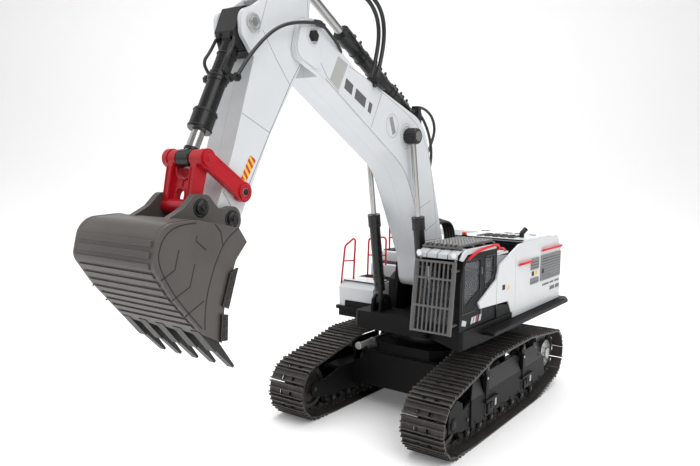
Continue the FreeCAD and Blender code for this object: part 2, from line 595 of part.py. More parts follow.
def deck_hoses():
    """A bundle of four hoses that arches from the deck towards the back of the boom."""
    hoses = []
    for i in range(4):
        x = -4.8 + 3.4 * i
        route = [(x, 45, 149.0), (x, 45, 172), (x, 38, 186), (x, 24, 193 - i),
                 (x, 8, 192 - i), (x, -1.5, 186 - i)]
        hoses.append(tube(route, HOSE_R, f"deck hose {i + 1}"))
    node("deck_hoses", *hoses)
    plate = less(box((-14, 12), (38, HOOD_FRONT - 2.4), (148.4, 150.4)), *hoses)
    NODES["hood_deck"] = Part.makeCompound([NODES["hood_deck"], plate])


# ---- front: boom ----
# the gooseneck's side, tip first, under the boom to its foot and back along the top
BOOM_OUTLINE = [(-205, 353, 8), (-229, 353, 12), (-236, 324, 8), (-206, 313.6, 12), (-80, 242.5, 60),
                (-34, 158, 12), (-28, 126, 12), (5, 126, 12), (1, 154, 10), (-48, 287.5, 40),
                (-160, 322.5, 20), (-188, 339, 10)]


def boom():
    """Two cast halves with a fork for the arm, cheeks at both ends and a boss for the lift rods."""
    whole = slab_x(BOOM_OUTLINE, (0, BOOM_HALF))
    cavity = slab_x([(-80, 245.5, 57), (-33, 160, 12), (-31, 154), (-1.5, 157), (-50, 284, 38),
                     (-158, 319, 18), (-170, 300)], (-1, BOOM_HALF - CAST))
    slot = slab_x([(-204.5, 300), (-204.5, 322, 4), (-193, 344, 4), (-193, 360), (-250, 360), (-250, 300)],
                  (-1, FORK_IN))
    nose = slab_x([(-205, 352, 8), (-229, 352, 12), (-235, 325, 8), (-207, 315, 6)],
                  (BOOM_HALF, BOOM_HALF + 0.8))
    half = joined(less(whole, cavity, slot), nose)
    half = less(half, bar_x(BOOM_TIP, 3.0, (-30, 30)), bar_x(BOOM_FOOT, 4.0, (-30, 30)))
    dent = [(-108.5, 288, 1.5), (-105, 289.4, 1.5), (-99.5, 276, 1.5), (-103, 274.6, 1.5)]
    half = less(half, slab_x(dent, (BOOM_HALF - 1.2, BOOM_HALF + 1)))
    pair("boom_half", half)
    foot_pin = less(bar_x(BOOM_FOOT, 4.0 - RUNNING, (-25.5, 25.5)), bar_x(BOOM_FOOT, 1.4, (-26, -20)))
    tip_pin = bar_x(BOOM_TIP, 3.0, (-BOOM_HALF - 0.8, BOOM_HALF + 0.8))
    heads = [slab_x([(BOOM_TIP[0] + 4.4 * math.cos(math.radians(60 * k + 10)),
                      BOOM_TIP[1] + 4.4 * math.sin(math.radians(60 * k + 10))) for k in range(6)],
                    (BOOM_HALF + 0.8, BOOM_HALF + 3.4))]
    heads.append(mirrored(heads[0]))
    node("boom_pins", foot_pin, joined(tip_pin, *heads), bar_x(ARM_CYL_BASE, 2.6, (-10.4, 10.4)))
    base_ears = []
    ear_line = [(-58, 284.5), (-40, 275), (-38, 297, 4), (-46, 303.5, 5), (-55, 298, 4)]
    for x in (-9.6, 7.4):
        base_ears.append(slab_x(ear_line, (x, x + 2.2)))
    bracket = joined(box((-9.6, 9.6), (-60, -40), (278, 286)), *base_ears)
    bracket = less(bracket, slab_x(BOOM_OUTLINE, (-30, 30)), bar_x(ARM_CYL_BASE, 2.6, (-30, 30)))
    node("boom_brackets", *bracket.Solids)


def lift_cylinders():
    """The two cylinders that raise the boom: barrel on the platform's ears, rod eye beside the boom."""
    length = math.dist(LIFT_BASE, LIFT_EYE)
    x = LIFT_X

    def axis(distance):
        return at(x, beyond(LIFT_BASE, LIFT_EYE, distance))
    barrel = joined(bar_x(LIFT_BASE, 5.0, (x - 3.0, x + 3.0)), bar(axis(2), axis(12), 2.9),
                    bar(axis(11), axis(88), 5.2), bar(axis(76), axis(88), 6.1), bar(axis(22), axis(26), 5.9))
    bore = bar(axis(12.5), axis(90), 2.6 + RUNNING)
    barrel = less(barrel, bore, bar_x(LIFT_BASE, 2.4 + RUNNING, (0, 60)))
    node("lift_barrels", *both_sides(barrel))
    rod = bar(axis(47), axis(length - 3), 2.6)
    eye = joined(bar_x(LIFT_EYE, 6.0, (BOOM_HALF + GAP, x + 5.2)), bar_x(LIFT_EYE, 4.6, (x + 5.2, x + 6.4)))
    node("lift_rods", *both_sides(joined(rod, eye)))
    node("lift_base_pins", *both_sides(bar_x(LIFT_BASE, 2.4, (x - 6.2, x + 6.2))))


def boom_hoses():
    """Two hoses round the elbow and the pair of loops that rise beside the arm cylinder."""
    elbow = []
    for i, x in enumerate((11.5, 15.0)):
        elbow.append(tube([(x, -54 + i, 300), (x, -38, 301 - 2 * i), (x, -18 - i, 294 - 3 * i),
                           (x, -9 - 4 * i, 278 - 2 * i),
                           (x, -17 - 4 * i, 258 - 4 * i)], HOSE_R, f"elbow hose {i + 1}"))
    saddle = less(box((9.9, 17.2), (-58, -53), (285, 302.5)), *elbow, slab_x(BOOM_OUTLINE, (-30, 30)))
    loops = []
    for i, x in enumerate((15.6, 19.4)):
        y, z = 3.4 * i, 2.4 * i
        loops.append(tube([(x, -132 + y, 316), (x, -124 + y, 340), (x, -120 + y, 366 + z),
                           (x, -134 + y, 388 + z),
                           (x, -164, 397 + z), (x, -194, 396 + z), (x, -216, 388 + z)],
                          2.0, f"loop hose {i + 1}"))
    clamp = less(box((12.6, 22.6), (-137, -122), (311, 320)), *loops, slab_x(BOOM_OUTLINE, (-30, 30)))
    clamp = max(clamp.Solids, key=lambda s: s.Volume)
    NODES["boom_brackets"] = Part.makeCompound([NODES["boom_brackets"], saddle, clamp])
    lead = tube([(21.2, -209, 350.5), (21.2, -198, 344), (20.6, -186, 337.5)], 1.2, "tip hose")
    lead = joined(lead, bar((21.2, -214, 352.4), (21.2, -208.8, 350.4), 2.2))
    node("boom_hoses", *elbow, *loops, lead)


# ---- front: arm ----
def arm_outline():
    """The arm's side, from the front of its top round to the boss at the boom."""
    return [(-247, 397, 16), (-259.8, 358), (-291.5, 255), (-308.4, 212, 5), (-306.5, 200.6, 6),
            (-290, 199.6, 6), (-255.9, 267.3, 60), (-223, 318, 30), (-214.5, 352),
            (-210.5, 396, 9), (-222, 404, 9)]


def arm():
    """Two cast halves, split down the middle, with the rod slot at the top and lugs in front."""
    whole = joined(slab_x(arm_outline(), (0, ARM_HALF)), bar_x(BOOM_TIP, 11.5, (0, ARM_HALF)),
                   bar_x(BUCKET_PIN, 9.8, (0, ARM_HALF)))
    cavity = slab_x([(-255, 352, 4), (-288, 255), (-297, 232), (-284, 232), (-258, 276, 40),
                     (-229, 322, 10)], (-1, ARM_HALF - CAST))
    slot = slab_x([(-242, 366, 12), (-242, 380), (-236, 410), (-190, 410), (-190, 353), (-232, 353)],
                  (-1, 7.0))
    pocket = slab_x([(-292, 318), (-266, 318, 6), (-257, 330, 6), (-252, 352), (-262, 364), (-292, 364)],
                    (-1, 9.8))
    lug = slab_x([(-258, 362), (-272, 352.5, 9), (-284.5, 347, 8), (-284, 332, 8), (-270, 316)],
                 (9.8, ARM_HALF))
    waist = joined(bar_x(BOOM_TIP, 12.5, (-1, 7.0)))
    half = joined(less(whole, cavity, slot, pocket, waist), lug)
    for centre, radius in ((BOOM_TIP, 3.0 + RUNNING), (BUCKET_PIN, 2.8 + RUNNING), (ROCKER_PIN, 2.6),
                           (BUCKET_CYL_TOP, 3.2), (ARM_CYL_EYE, 3.0)):
        half = less(half, bar_x(centre, radius, (-30, 30)))
    pair("arm_half", half)
    cap = bar_x(ARM_CYL_EYE, 3.0, (7.0, ARM_HALF))
    disc = [bar_x(BUCKET_CYL_TOP, 6.0, x)
            for x in ((ARM_HALF, ARM_HALF + 1.8), (-ARM_HALF - 1.8, -ARM_HALF))]
    node("arm_pins", *both_sides(cap), joined(bar_x(BUCKET_CYL_TOP, 3.2, (-ARM_HALF, ARM_HALF)), *disc),
         bar_x(ROCKER_PIN, 2.6, (-19.6, 19.6)))


def arm_cylinder():
    """The cylinder along the top of the boom, and its rod into the head of the arm."""
    length = math.dist(ARM_CYL_BASE, ARM_CYL_EYE)

    def axis(distance):
        return at(0, beyond(ARM_CYL_BASE, ARM_CYL_EYE, distance))
    barrel = joined(bar(axis(3), axis(124), 6.4), bar(axis(112), axis(124), 7.4),
                    bar(axis(88), axis(91), 7.0), bar(axis(40), axis(43), 7.0),
                    bar_x(ARM_CYL_BASE, 6.2, (-6.8, 6.8)))
    up = Vector(0, 0.477, 0.879)
    for distance in (18, 30, 62, 108):
        foot = Vector(*axis(distance))
        barrel = joined(barrel, bar(foot + up * 4.5, foot + up * 10.0, 1.5),
                        bar(foot + up * 7.5, foot + up * 9.0, 2.4))
    barrel = less(barrel, bar(axis(12), axis(126), 3.6 + RUNNING),
                  bar_x(ARM_CYL_BASE, 2.6 + RUNNING, (-9, 9)))
    node("arm_cylinder_barrel", barrel)
    rod = joined(bar(axis(66), axis(length - 4), 3.6), bar_x(ARM_CYL_EYE, 6.2, (-5.6, 5.6)))
    node("arm_cylinder_rod", rod)


PORT_AT = 43.0          # the bucket cylinder's hose ports, from its top pin along the barrel


def bucket_cylinder():
    """The cylinder in front of the arm: drive housing at its head, barrel, collar and rod."""
    length = math.dist(BUCKET_CYL_TOP, LINK_TOP)

    def axis(distance):
        return at(0, beyond(BUCKET_CYL_TOP, LINK_TOP, distance))
    housing = slab_x([(-280, 351, 1.5), (-268, 353.5, 2), (-264.5, 349, 5), (-264.5, 333, 4), (-271, 323),
                      (-283, 322, 2), (-287, 334, 2)], (-9.3, 9.3))
    port = [(x, *axis(PORT_AT)[1:]) for x in (-10.4, 16.8, 18.6)]
    barrel = joined(housing, bar(axis(10), axis(82), 6.3), bar(axis(68), axis(82), 7.9),
                    bar(axis(PORT_AT - 3), axis(PORT_AT + 3), 7.0), bar(port[0], port[2], 2.0),
                    bar(port[1], port[2], 2.7))
    barrel = less(barrel, bar(axis(22), axis(84), 4.4 + RUNNING),
                  bar_x(BUCKET_CYL_TOP, 3.2 + RUNNING, (-20, 20)))
    screws = [bar((x, -287.6, 331), (x, -282.6, 328.4), 1.3) for x in (-5, 5)]
    barrel = less(barrel, *screws)
    node("bucket_cylinder_barrel", barrel)
    node("bucket_rod", joined(bar(axis(34), axis(length - 2), 4.4), bar_x(LINK_TOP, 5.8, (-5.6, 5.6))))
    loops = []
    for side in (-1, 1):
        x = 8.6 * side
        ends = [axis(14), axis(PORT_AT - 2)]
        route = [(x, ends[0][1] - 6.5, ends[0][2] + 1), (x * 1.2, ends[0][1] - 10, ends[0][2] - 7),
                 (x * 1.2, ends[1][1] - 5, ends[1][2] + 9), (x, ends[1][1] - 1, ends[1][2] + 1)]
        loops.append(tube(route, 1.1, "bucket cylinder hose"))
    node("bucket_cylinder_hoses", *[max(less(t, barrel).Solids, key=lambda s: s.Volume) for t in loops])
    arch = tube([(20.6, -291, 307), (20.6, -282, 318), (20.6, -270, 331), (20.6, -256, 342),
                 (20.6, -240, 348)], 1.3, "arm hose")
    node("arm_hose", arch)


STRAP_WAIST = 0.86      # half width of a link's bar as a share of its end radius


def strap(a, radius_a, b, radius_b, x):
    """A flat link with a round end at each pivot and straight sides between them."""
    dy, dz = b[0] - a[0], b[1] - a[1]
    span = math.hypot(dy, dz)
    ny, nz = -dz / span, dy / span
    sides = []
    for centre, radius, side in ((a, radius_a, 1), (a, radius_a, -1), (b, radius_b, -1), (b, radius_b, 1)):
        reach = STRAP_WAIST * radius * side
        sides.append((centre[0] + ny * reach, centre[1] + nz * reach))
    return joined(slab_x(sides, x), bar_x(a, radius_a, x), bar_x(b, radius_b, x))


def linkage():
    """The red rockers on the arm and the red H-shaped link down to the bucket."""
    plates = strap(LINK_TOP, 6.4, ROCKER_PIN, 6.8, (14.2, 18.4))
    boss = joined(bar_x(LINK_TOP, 5.0, (18.4, 20.0)), bar_x(ROCKER_PIN, 5.2, (18.4, 19.2)))
    rocker = less(joined(plates, boss), bar_x(LINK_TOP, 2.8, (0, 30)),
                  bar_x(ROCKER_PIN, 2.6 + RUNNING, (0, 30)))
    node("rockers", *both_sides(rocker), *both_sides(bar_x(LINK_TOP, 2.8, (6.8, 20.4))))
    cheek = strap(LINK_TOP, 5.8, LINK_FOOT, 4.6, (8.6, 13.8))
    cheek = joined(cheek, bar_x(LINK_TOP, 5.8, (6.8, 13.8)))
    foot = bar_x(LINK_FOOT, 4.8, (-13.8, 13.8))
    along = (LINK_FOOT[0] - LINK_TOP[0], LINK_FOOT[1] - LINK_TOP[1])
    lean = math.degrees(math.atan2(-along[0], -along[1]))
    web = box((-9, 9), (-1.6, 1.6), (-29, -7))
    web = less(web, Part.makeCylinder(7.4, 10, Vector(0, -5, -6), Vector(0, 1, 0)),
               Part.makeCylinder(3.6, 10, Vector(0, -5, -24), Vector(0, 1, 0)),
               box((-3.6, 3.6), (-5, 5), (-30, -24)))
    web.rotate(Vector(0, 0, 0), Vector(1, 0, 0), -lean)
    web.translate(Vector(0, *LINK_TOP))
    link = joined(cheek, mirrored(cheek), foot, web)
    link = less(link, bar_x(LINK_TOP, 2.8 + RUNNING, (-30, 30)), bar_x(LINK_FOOT, 2.4, (-30, 30)))
    node("bucket_link", link, bar_x(LINK_FOOT, 2.4, (-13.8, 13.8)))


# ---- front: bucket ----
RIBS = 11               # wear strips across the bucket's back


def bucket_side():
    """The side of the bucket: mouth, tooth corner, curved back and rolled top."""
    return [(-310.8, 206.5), (-303.8, 197.2), (-313.4, 186.7, 8), (-322.7, 161.2, 40), (-325.2, 136.9),
            (-340.4, 144.8), (-363.7, 170.6, 60), (-376.5, 189.0, 9), (-371.5, 212.0, 14), (-345, 213.4, 16),
            (-330, 210.4, 8)]


def bucket():
    shell = slab_x(bucket_side(), (-BUCKET_HALF, BUCKET_HALF))
    hollow = slab_x([(-295, 203.4), (-311, 203.9), (-330, 207.8, 6), (-345, 210.9, 14), (-368.9, 209.4, 12),
                     (-373.3, 189.5, 7), (-361.9, 171.9, 56), (-339, 146.9), (-326.5, 140.3), (-295, 138)],
                    (-BUCKET_HALF + 2.2, BUCKET_HALF - 2.2))
    shell = less(shell, hollow)
    ear = slab_x([(-352, 212.2), (-338, 219, 8), (-329, 227.5, 6), (-318.5, 226.5, 6), (-309, 216.5, 8),
                  (-292.5, 219.5, 7), (-288.5, 204, 7), (-302, 200.5, 6), (-316, 207.2)], (14.0, 19.0))
    ears = both_sides(ear)
    shell = joined(shell, *ears)
    shell = less(shell, bar_x(BUCKET_PIN, 2.8, (-40, 40)), bar_x(LINK_FOOT, 2.4, (-40, 40)), hollow)
    pins = [bar_x(LINK_FOOT, 2.4, (14.4, 19.0)), bar_x(LINK_FOOT, 4.4, (19.0, 20.4))]
    heads = [bar_x(BUCKET_PIN, 4.4, (19.0, 20.4)), bar_x(BUCKET_PIN, 4.4, (-20.4, -19.0))]
    node("bucket_pins", joined(bar_x(BUCKET_PIN, 2.8, (-19.0, 19.0)), *heads), *both_sides(joined(*pins)))
    outline = closed_wire(bucket_side(), lambda u, v: Vector(-34.6, u, v))
    skin = Part.Face(outline.makeOffset2D(0.9)).extrude(Vector(69.2, 0, 0))
    skin = skin.cut(slab_x(bucket_side(), (-40, 40)))
    turn = Part.Arc(Vector(0, -371.6, 204), Vector(0, -374.6, 189), Vector(0, -367.5, 175))
    straight = Part.LineSegment(Vector(0, -367.5, 175), Vector(0, -343.2, 147.6))
    back = Part.Wire([turn.toShape(), straight.toShape()])
    stops = back.discretize(Number=2 * RIBS + 1)
    strips = []
    for i in range(RIBS):
        start, middle, end = stops[2 * i:2 * i + 3]
        along = end - start
        width = 0.56 * along.Length
        window = box((-40, 40), (-width / 2, width / 2), (-5, 5))
        window.rotate(Vector(0, 0, 0), Vector(1, 0, 0), math.degrees(math.atan2(along.z, along.y)))
        strips.append(skin.common(moved(window, 0, middle.y, middle.z)))
    shell = joined(shell, *[s.Solids[0] for s in strips])
    node("bucket_shell", shell)
    teeth = []
    for i in range(5):
        x = -33.0 + 16.5 * i
        root = slab_x([(-339.5, 149.5), (-342.6, 146.6), (-329.5, 131.8), (-324.4, 133.2), (-327.5, 140)],
                      (x - 3.6, x + 3.6))
        blade = slab_x([(-333, 136.8), (-313.6, 118.2), (-312.4, 119.4), (-325.6, 137)], (x - 2.6, x + 2.6))
        teeth.append(less(joined(root, blade), shell))
    teeth = [max(t.Solids, key=lambda v: v.Volume) for t in teeth]
    cutters = []
    for outline in ([(-319.5, 179.5), (-313, 182), (-321, 157.5), (-326, 160)],
                    [(-326.5, 155), (-321.5, 154), (-322, 138), (-327.5, 138.5)]):
        plate = slab_x(outline, (BUCKET_HALF, BUCKET_HALF + 1.8))
        top, foot = outline[0], outline[3]
        bolts = [bar_x((between(top, foot, share)[0] + 3.4, between(top, foot, share)[1]), 0.9,
                       (BUCKET_HALF + 1.8, BUCKET_HALF + 2.6)) for share in (0.2, 0.5, 0.8)]
        cutters += both_sides(joined(plate, *bolts))
    node("bucket_teeth", *teeth, *cutters)


def export():
    os.makedirs("parts", exist_ok=True)
    whole = Part.makeCompound(list(NODES.values()))
    limits = whole.BoundBox
    for axis in "XYZ":
        print(f"box {axis} {getattr(limits, axis + 'Min'):.2f} {getattr(limits, axis + 'Max'):.2f}")
    for name, shape in NODES.items():
        moved(shape, 0, SHIFT_Y).exportStep(f"parts/{name}.step")
    print(f"{len(NODES)} nodes, {sum(len(s.Solids) for s in NODES.values())} solids")


tracks()
undercarriage()
platform()
slew_drive()
cab()
body_covers()
rails()
fittings()
deck_hoses()
boom()
lift_cylinders()
boom_hoses()
arm()
arm_cylinder()
bucket_cylinder()
linkage()
bucket()
export()
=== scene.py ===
"""Looks of the tracked excavator: materials, fine parts, hoses, floor, light and camera."""

import json
import math

import bmesh
import bpy
from mathutils import Matrix, Vector


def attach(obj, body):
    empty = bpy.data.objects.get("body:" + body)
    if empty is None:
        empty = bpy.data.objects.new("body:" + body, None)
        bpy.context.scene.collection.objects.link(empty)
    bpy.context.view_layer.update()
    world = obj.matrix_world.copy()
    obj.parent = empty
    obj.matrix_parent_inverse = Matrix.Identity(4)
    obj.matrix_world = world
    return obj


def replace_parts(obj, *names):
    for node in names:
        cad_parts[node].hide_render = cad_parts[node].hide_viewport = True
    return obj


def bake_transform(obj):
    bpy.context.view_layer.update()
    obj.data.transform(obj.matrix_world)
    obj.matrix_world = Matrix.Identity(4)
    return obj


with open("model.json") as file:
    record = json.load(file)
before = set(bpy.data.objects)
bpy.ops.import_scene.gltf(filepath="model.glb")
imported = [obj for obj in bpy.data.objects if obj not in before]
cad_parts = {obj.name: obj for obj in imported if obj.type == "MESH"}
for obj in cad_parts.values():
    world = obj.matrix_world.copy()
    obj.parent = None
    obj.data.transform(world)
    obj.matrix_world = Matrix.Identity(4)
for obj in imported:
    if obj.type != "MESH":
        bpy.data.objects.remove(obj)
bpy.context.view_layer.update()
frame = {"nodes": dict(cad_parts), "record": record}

MM = 0.001
SHIFT_Y = 99.385        # the machine's own zero lies this far ahead of the row's, in mm
SIDES = (1, -1)         # left and right
# Outer faces in x, in mm: boom, arm, bucket cheeks, white cover, cab and stepped side.
BOOM_X, ARM_X, BUCKET_X, BODY_X, CAB_X, FAR_X = 18.0, 13.0, 38.0, 82.0, 80.0, -84.0
LIFT_X = 24.6           # the lift cylinders' middle, in mm from the machine's
SUNK = 0.05             # how far a plate's or strip's underside lies in the face that it is on, in mm
LINE = 0.06             # how far a drawn panel line stands proud, in mm
# Pivots, as (y, z) of the machine's own frame in mm.
BOOM_FOOT, BOOM_TIP = (-12.0, 140.0), (-216.7, 340.4)
LIFT_BASE, LIFT_EYE = (-52.0, 113.0), (-80.0, 273.5)
ARM_CYL_BASE, ARM_CYL_EYE = (-48.0, 295.5), (-223.0, 390.5)
BUCKET_CYL, BUCKET_PIN = (-273.5, 341.0), (-298.2, 210.2)
LINK_TOP, LINK_FOOT, ROCKER_PIN = (-318.0, 249.0), (-324.5, 218.5), (-286.2, 227.5)


def pt(x, y, z):
    """A point of the machine's own frame in mm, as a place in the row frame in metres."""
    return Vector((x, y + SHIFT_Y, z)) * MM


def turns(count):
    """Angles in radians, spaced evenly over a full turn."""
    return [2 * math.pi * i / count for i in range(count)]


def linked(name, data):
    """A new object in the scene."""
    thing = bpy.data.objects.new(name, data)
    bpy.context.collection.objects.link(thing)
    return thing


# ---- materials
M = {}                  # every finish by name


def add(tree, kind, inputs=None, **settings):
    """A new node; inputs maps a socket to a value or to another node's output."""
    made = tree.nodes.new(kind)
    for key, value in settings.items():
        setattr(made, key, value)
    for key, value in (inputs or {}).items():
        if isinstance(value, bpy.types.NodeSocket):
            tree.links.new(value, made.inputs[key])
        else:
            made.inputs[key].default_value = value
    return made


def normal(tree):
    return add(tree, "ShaderNodeNewGeometry").outputs["Normal"]


def rgb(colour, gain=1.0):
    return (*[min(1.0, c * gain) for c in colour], 1.0)


def noise(tree, coords, scale, detail=3.0, stretch=(1, 1, 1)):
    if stretch != (1, 1, 1):
        coords = add(tree, "ShaderNodeMapping", {"Vector": coords, "Scale": stretch}).outputs[0]
    return add(tree, "ShaderNodeTexNoise", {"Vector": coords, "Scale": scale, "Detail": detail}).outputs["Fac"]


def spread(tree, value, low, high, to_low, to_high):
    inputs = {"Value": value, "From Min": low, "From Max": high, "To Min": to_low, "To Max": to_high}
    return add(tree, "ShaderNodeMapRange", inputs).outputs[0]


def blend_colour(tree, share, a, b):
    """The share, A and B of a colour mix are its inputs 0, 6 and 7, and its colour is output 2."""
    return add(tree, "ShaderNodeMix", {0: share, 6: a, 7: b}, data_type="RGBA").outputs[2]


def surface(name, colour, rough, metal=0.0, tone=0.08, tone_scale=45.0, grain=0.12, grain_scale=1400.0,
            stretch=(1, 1, 1), rough_spread=0.06, coat=0.0, edge=None, edge_share=0.6, radius=0.00035,
            painted_top_light=None, painted_top_light_share=0.0, gloss=0.5):
    """A hard finish, filed in M: tone changes, grain in bump and roughness, rounded edges with an edge colour
    (seam lines where it is darker, wear with a painted edge highlight where it is lighter) and a painted top
    light on upward faces.
    """
    mat = bpy.data.materials.new(name)
    mat.use_nodes = True
    tree = mat.node_tree
    shader = tree.nodes["Principled BSDF"]
    coords = add(tree, "ShaderNodeTexCoord").outputs["Object"]
    broad = noise(tree, coords, tone_scale, 5.0)
    base = blend_colour(tree, spread(tree, broad, 0.3, 0.7, 0.0, 1.0),
                        rgb(colour, 1 - tone), rgb(colour, 1 + tone))
    rounded = add(tree, "ShaderNodeBevel", {"Radius": radius}, samples=4).outputs[0]
    # Edge mask: mixes the edge colour in along sharp edges. A lighter edge colour is partly wear and partly a
    # painted edge highlight; a darker one is the seam line.
    if edge:
        turn = add(tree, "ShaderNodeVectorMath", {0: rounded, 1: normal(tree)}, operation="DOT_PRODUCT")
        edge_wear_and_highlight = spread(tree, turn.outputs["Value"], 0.995, 0.86, 0.0, edge_share)
        base = blend_colour(tree, edge_wear_and_highlight, base, rgb(edge))
    # Upward faces are blended towards a lighter copy of the colour: painted top light.
    if painted_top_light:
        upward = add(tree, "ShaderNodeSeparateXYZ", {0: normal(tree)}).outputs[2]
        painted_top_light_mask = spread(tree, upward, 0.2, 1.0, 0.0, painted_top_light_share)
        base = blend_colour(tree, painted_top_light_mask, base, rgb(painted_top_light))
    fine = noise(tree, coords, grain_scale, 2.0, stretch)
    tree.links.new(base, shader.inputs["Base Color"])
    tree.links.new(spread(tree, fine, 0.3, 0.7, max(0.03, rough - rough_spread), rough + rough_spread),
                   shader.inputs["Roughness"])
    bump = add(tree, "ShaderNodeBump",
               {"Strength": grain, "Distance": 0.00008, "Height": fine, "Normal": rounded})
    tree.links.new(bump.outputs[0], shader.inputs["Normal"])
    shader.inputs["Metallic"].default_value = metal
    shader.inputs["Specular IOR Level"].default_value = gloss
    shader.inputs["Coat Weight"].default_value = coat
    shader.inputs["Coat Roughness"].default_value = 0.12
    M[name] = mat
    return shader


def clear(name, colour, rough, transmission, alpha):
    """Glass or a lens: faintly wavy, and the fainter the lower its alpha."""
    shader = surface(name, colour, rough, tone=0.02, grain=0.04, grain_scale=160.0, rough_spread=0.01,
                     radius=0.0002)
    shader.inputs["Alpha"].default_value = alpha
    shader.inputs["Transmission Weight"].default_value = transmission
    shader.inputs["IOR"].default_value = 1.45


# Edge colours lighter than their base are partly wear and partly painted edge highlights; TAUPE is the white
# cast's seam colour.
TAUPE = (0.30, 0.26, 0.23)
surface("white_cast", (0.66, 0.685, 0.705), 0.38, tone=0.02, coat=0.15, grain=0.05, grain_scale=700.0,
        edge=TAUPE, edge_share=0.55, radius=0.00045)
surface("white_cover", (0.68, 0.70, 0.715), 0.34, tone=0.02, coat=0.15, grain=0.05, grain_scale=900.0,
        edge=(0.45, 0.45, 0.46), edge_share=0.3)
# Its upward faces get a painted top light.
surface("black_moulding", (0.006, 0.006, 0.007), 0.5, tone=0.12, grain=0.35, grain_scale=2200.0,
        edge=(0.05, 0.05, 0.05), edge_share=0.55, painted_top_light=(0.020, 0.020, 0.021), painted_top_light_share=0.3, gloss=0.14)
surface("black_metal", (0.009, 0.009, 0.010), 0.3, tone=0.1, coat=0.05, grain=0.12, edge=(0.08, 0.08, 0.08),
        edge_share=0.5, gloss=0.35)
surface("chrome", (0.40, 0.39, 0.385), 0.17, metal=1.0, tone=0.04, grain=0.06, grain_scale=900.0,
        stretch=(1, 1, 0.05), rough_spread=0.05)
surface("red_paint", (0.45, 0.004, 0.013), 0.36, tone=0.06, coat=0.1, grain=0.08, grain_scale=800.0,
        edge=(0.62, 0.06, 0.07), edge_share=0.6, gloss=0.3)
surface("red_rail", (0.66, 0.004, 0.012), 0.4, tone=0.04, grain=0.08, gloss=0.25)
surface("tooth_metal", (0.030, 0.028, 0.027), 0.4, metal=0.4, tone=0.15, grain=0.25, edge=(0.30, 0.29, 0.28),
        edge_share=0.6, gloss=0.4)
surface("bucket_metal", (0.0984, 0.09, 0.0828), 0.44, metal=0.35, tone=0.08, grain=0.2, grain_scale=1500.0,
        edge=(0.30, 0.29, 0.28), edge_share=0.55, gloss=0.4)
surface("track_steel", (0.0633, 0.0575, 0.054), 0.46, metal=0.5, tone=0.24, tone_scale=120.0, grain=0.3,
        edge=(0.32, 0.30, 0.28), edge_share=0.65, radius=0.0003, gloss=0.4)
surface("bright_steel", (0.45, 0.45, 0.46), 0.3, metal=1.0, tone=0.1, grain=0.1, edge=(0.7, 0.7, 0.7))
surface("wheel_alloy", (0.55, 0.55, 0.56), 0.3, metal=1.0, tone=0.06, grain=0.12, edge=(0.8, 0.8, 0.8))
surface("guard_alloy", (0.155, 0.1507, 0.1463), 0.38, metal=0.6, tone=0.08, grain=0.15, edge=(0.5, 0.5, 0.5),
        edge_share=0.5)
surface("motor_case", (0.3, 0.3, 0.31), 0.4, metal=0.8, tone=0.08, grain=0.15)
clear("glazing", (0.22, 0.25, 0.27), 0.04, 0.3, 0.16)
clear("lens", (0.95, 0.10, 0.01), 0.15, 0.1, 1.0)
surface("hose_rubber", (0.014, 0.014, 0.015), 0.38, tone=0.15, grain=0.2, grain_scale=2600.0, radius=0.0001)
surface("battery_wrap", (0.02, 0.06, 0.22), 0.3, tone=0.1, coat=0.2)
surface("circuit", (0.01, 0.12, 0.04), 0.4, tone=0.25, tone_scale=300.0)
surface("switch_knob", (0.45, 0.02, 0.02), 0.45, tone=0.05, grain=0.2)
surface("panel_line", (0.22, 0.20, 0.18), 0.6, tone=0.15, grain=0.2, radius=0.0001)
surface("groove", (0.012, 0.011, 0.011), 0.6, tone=0.2, grain=0.2, radius=0.0001)
surface("worn_black", (0.0132, 0.0132, 0.0144), 0.42, tone=0.15, grain=0.3, grain_scale=2000.0,
        edge=(0.09, 0.09, 0.09), edge_share=0.6, gloss=0.4)
surface("silver", (0.55, 0.55, 0.54), 0.32, metal=0.45, tone=0.05, grain=0.12, edge=(0.85, 0.85, 0.85),
        edge_share=0.6)
surface("pale_grey", (0.40, 0.395, 0.39), 0.5, tone=0.05, grain=0.2, radius=0.0001)
surface("louvre_grey", (0.27, 0.275, 0.28), 0.5, tone=0.05, grain=0.25, radius=0.0001)
surface("mark_grey", (0.10, 0.10, 0.105), 0.45, tone=0.06, grain=0.1, radius=0.0001)
surface("mark_yellow", (0.85, 0.55, 0.02), 0.4, tone=0.05, grain=0.1, radius=0.0001)
surface("mark_red", (0.55, 0.03, 0.04), 0.4, tone=0.05, grain=0.1, radius=0.0001)
surface("light_plate", (0.55, 0.57, 0.59), 0.4, tone=0.03, grain=0.1, radius=0.0002)
surface("lamp_white", (0.85, 0.86, 0.86), 0.2, tone=0.04, coat=0.5, grain=0.05)
surface("seat_cloth", (0.05, 0.05, 0.055), 0.8, tone=0.2, grain=0.5, grain_scale=3000.0)

# CAD nodes whose finish isn't the one of their slot.
FINISH = {
    "boom_pins": "black_metal", "slew_ring_lower": "black_metal", "slew_ring_upper": "black_metal",
    "exhaust_pipe": "black_metal", "bucket_pins": "black_metal", "lift_base_pins": "black_metal",
    "bucket_teeth": "tooth_metal", "handrails": "red_rail", "track_axles": "track_steel", "arm_pins": "silver",
}
slot_of = {row["node"]: row["material_slot"] for row in frame["record"]["subparts"]}
for name, thing in frame["nodes"].items():
    thing.data.materials.clear()
    thing.data.materials.append(M[FINISH.get(name, slot_of[name])])


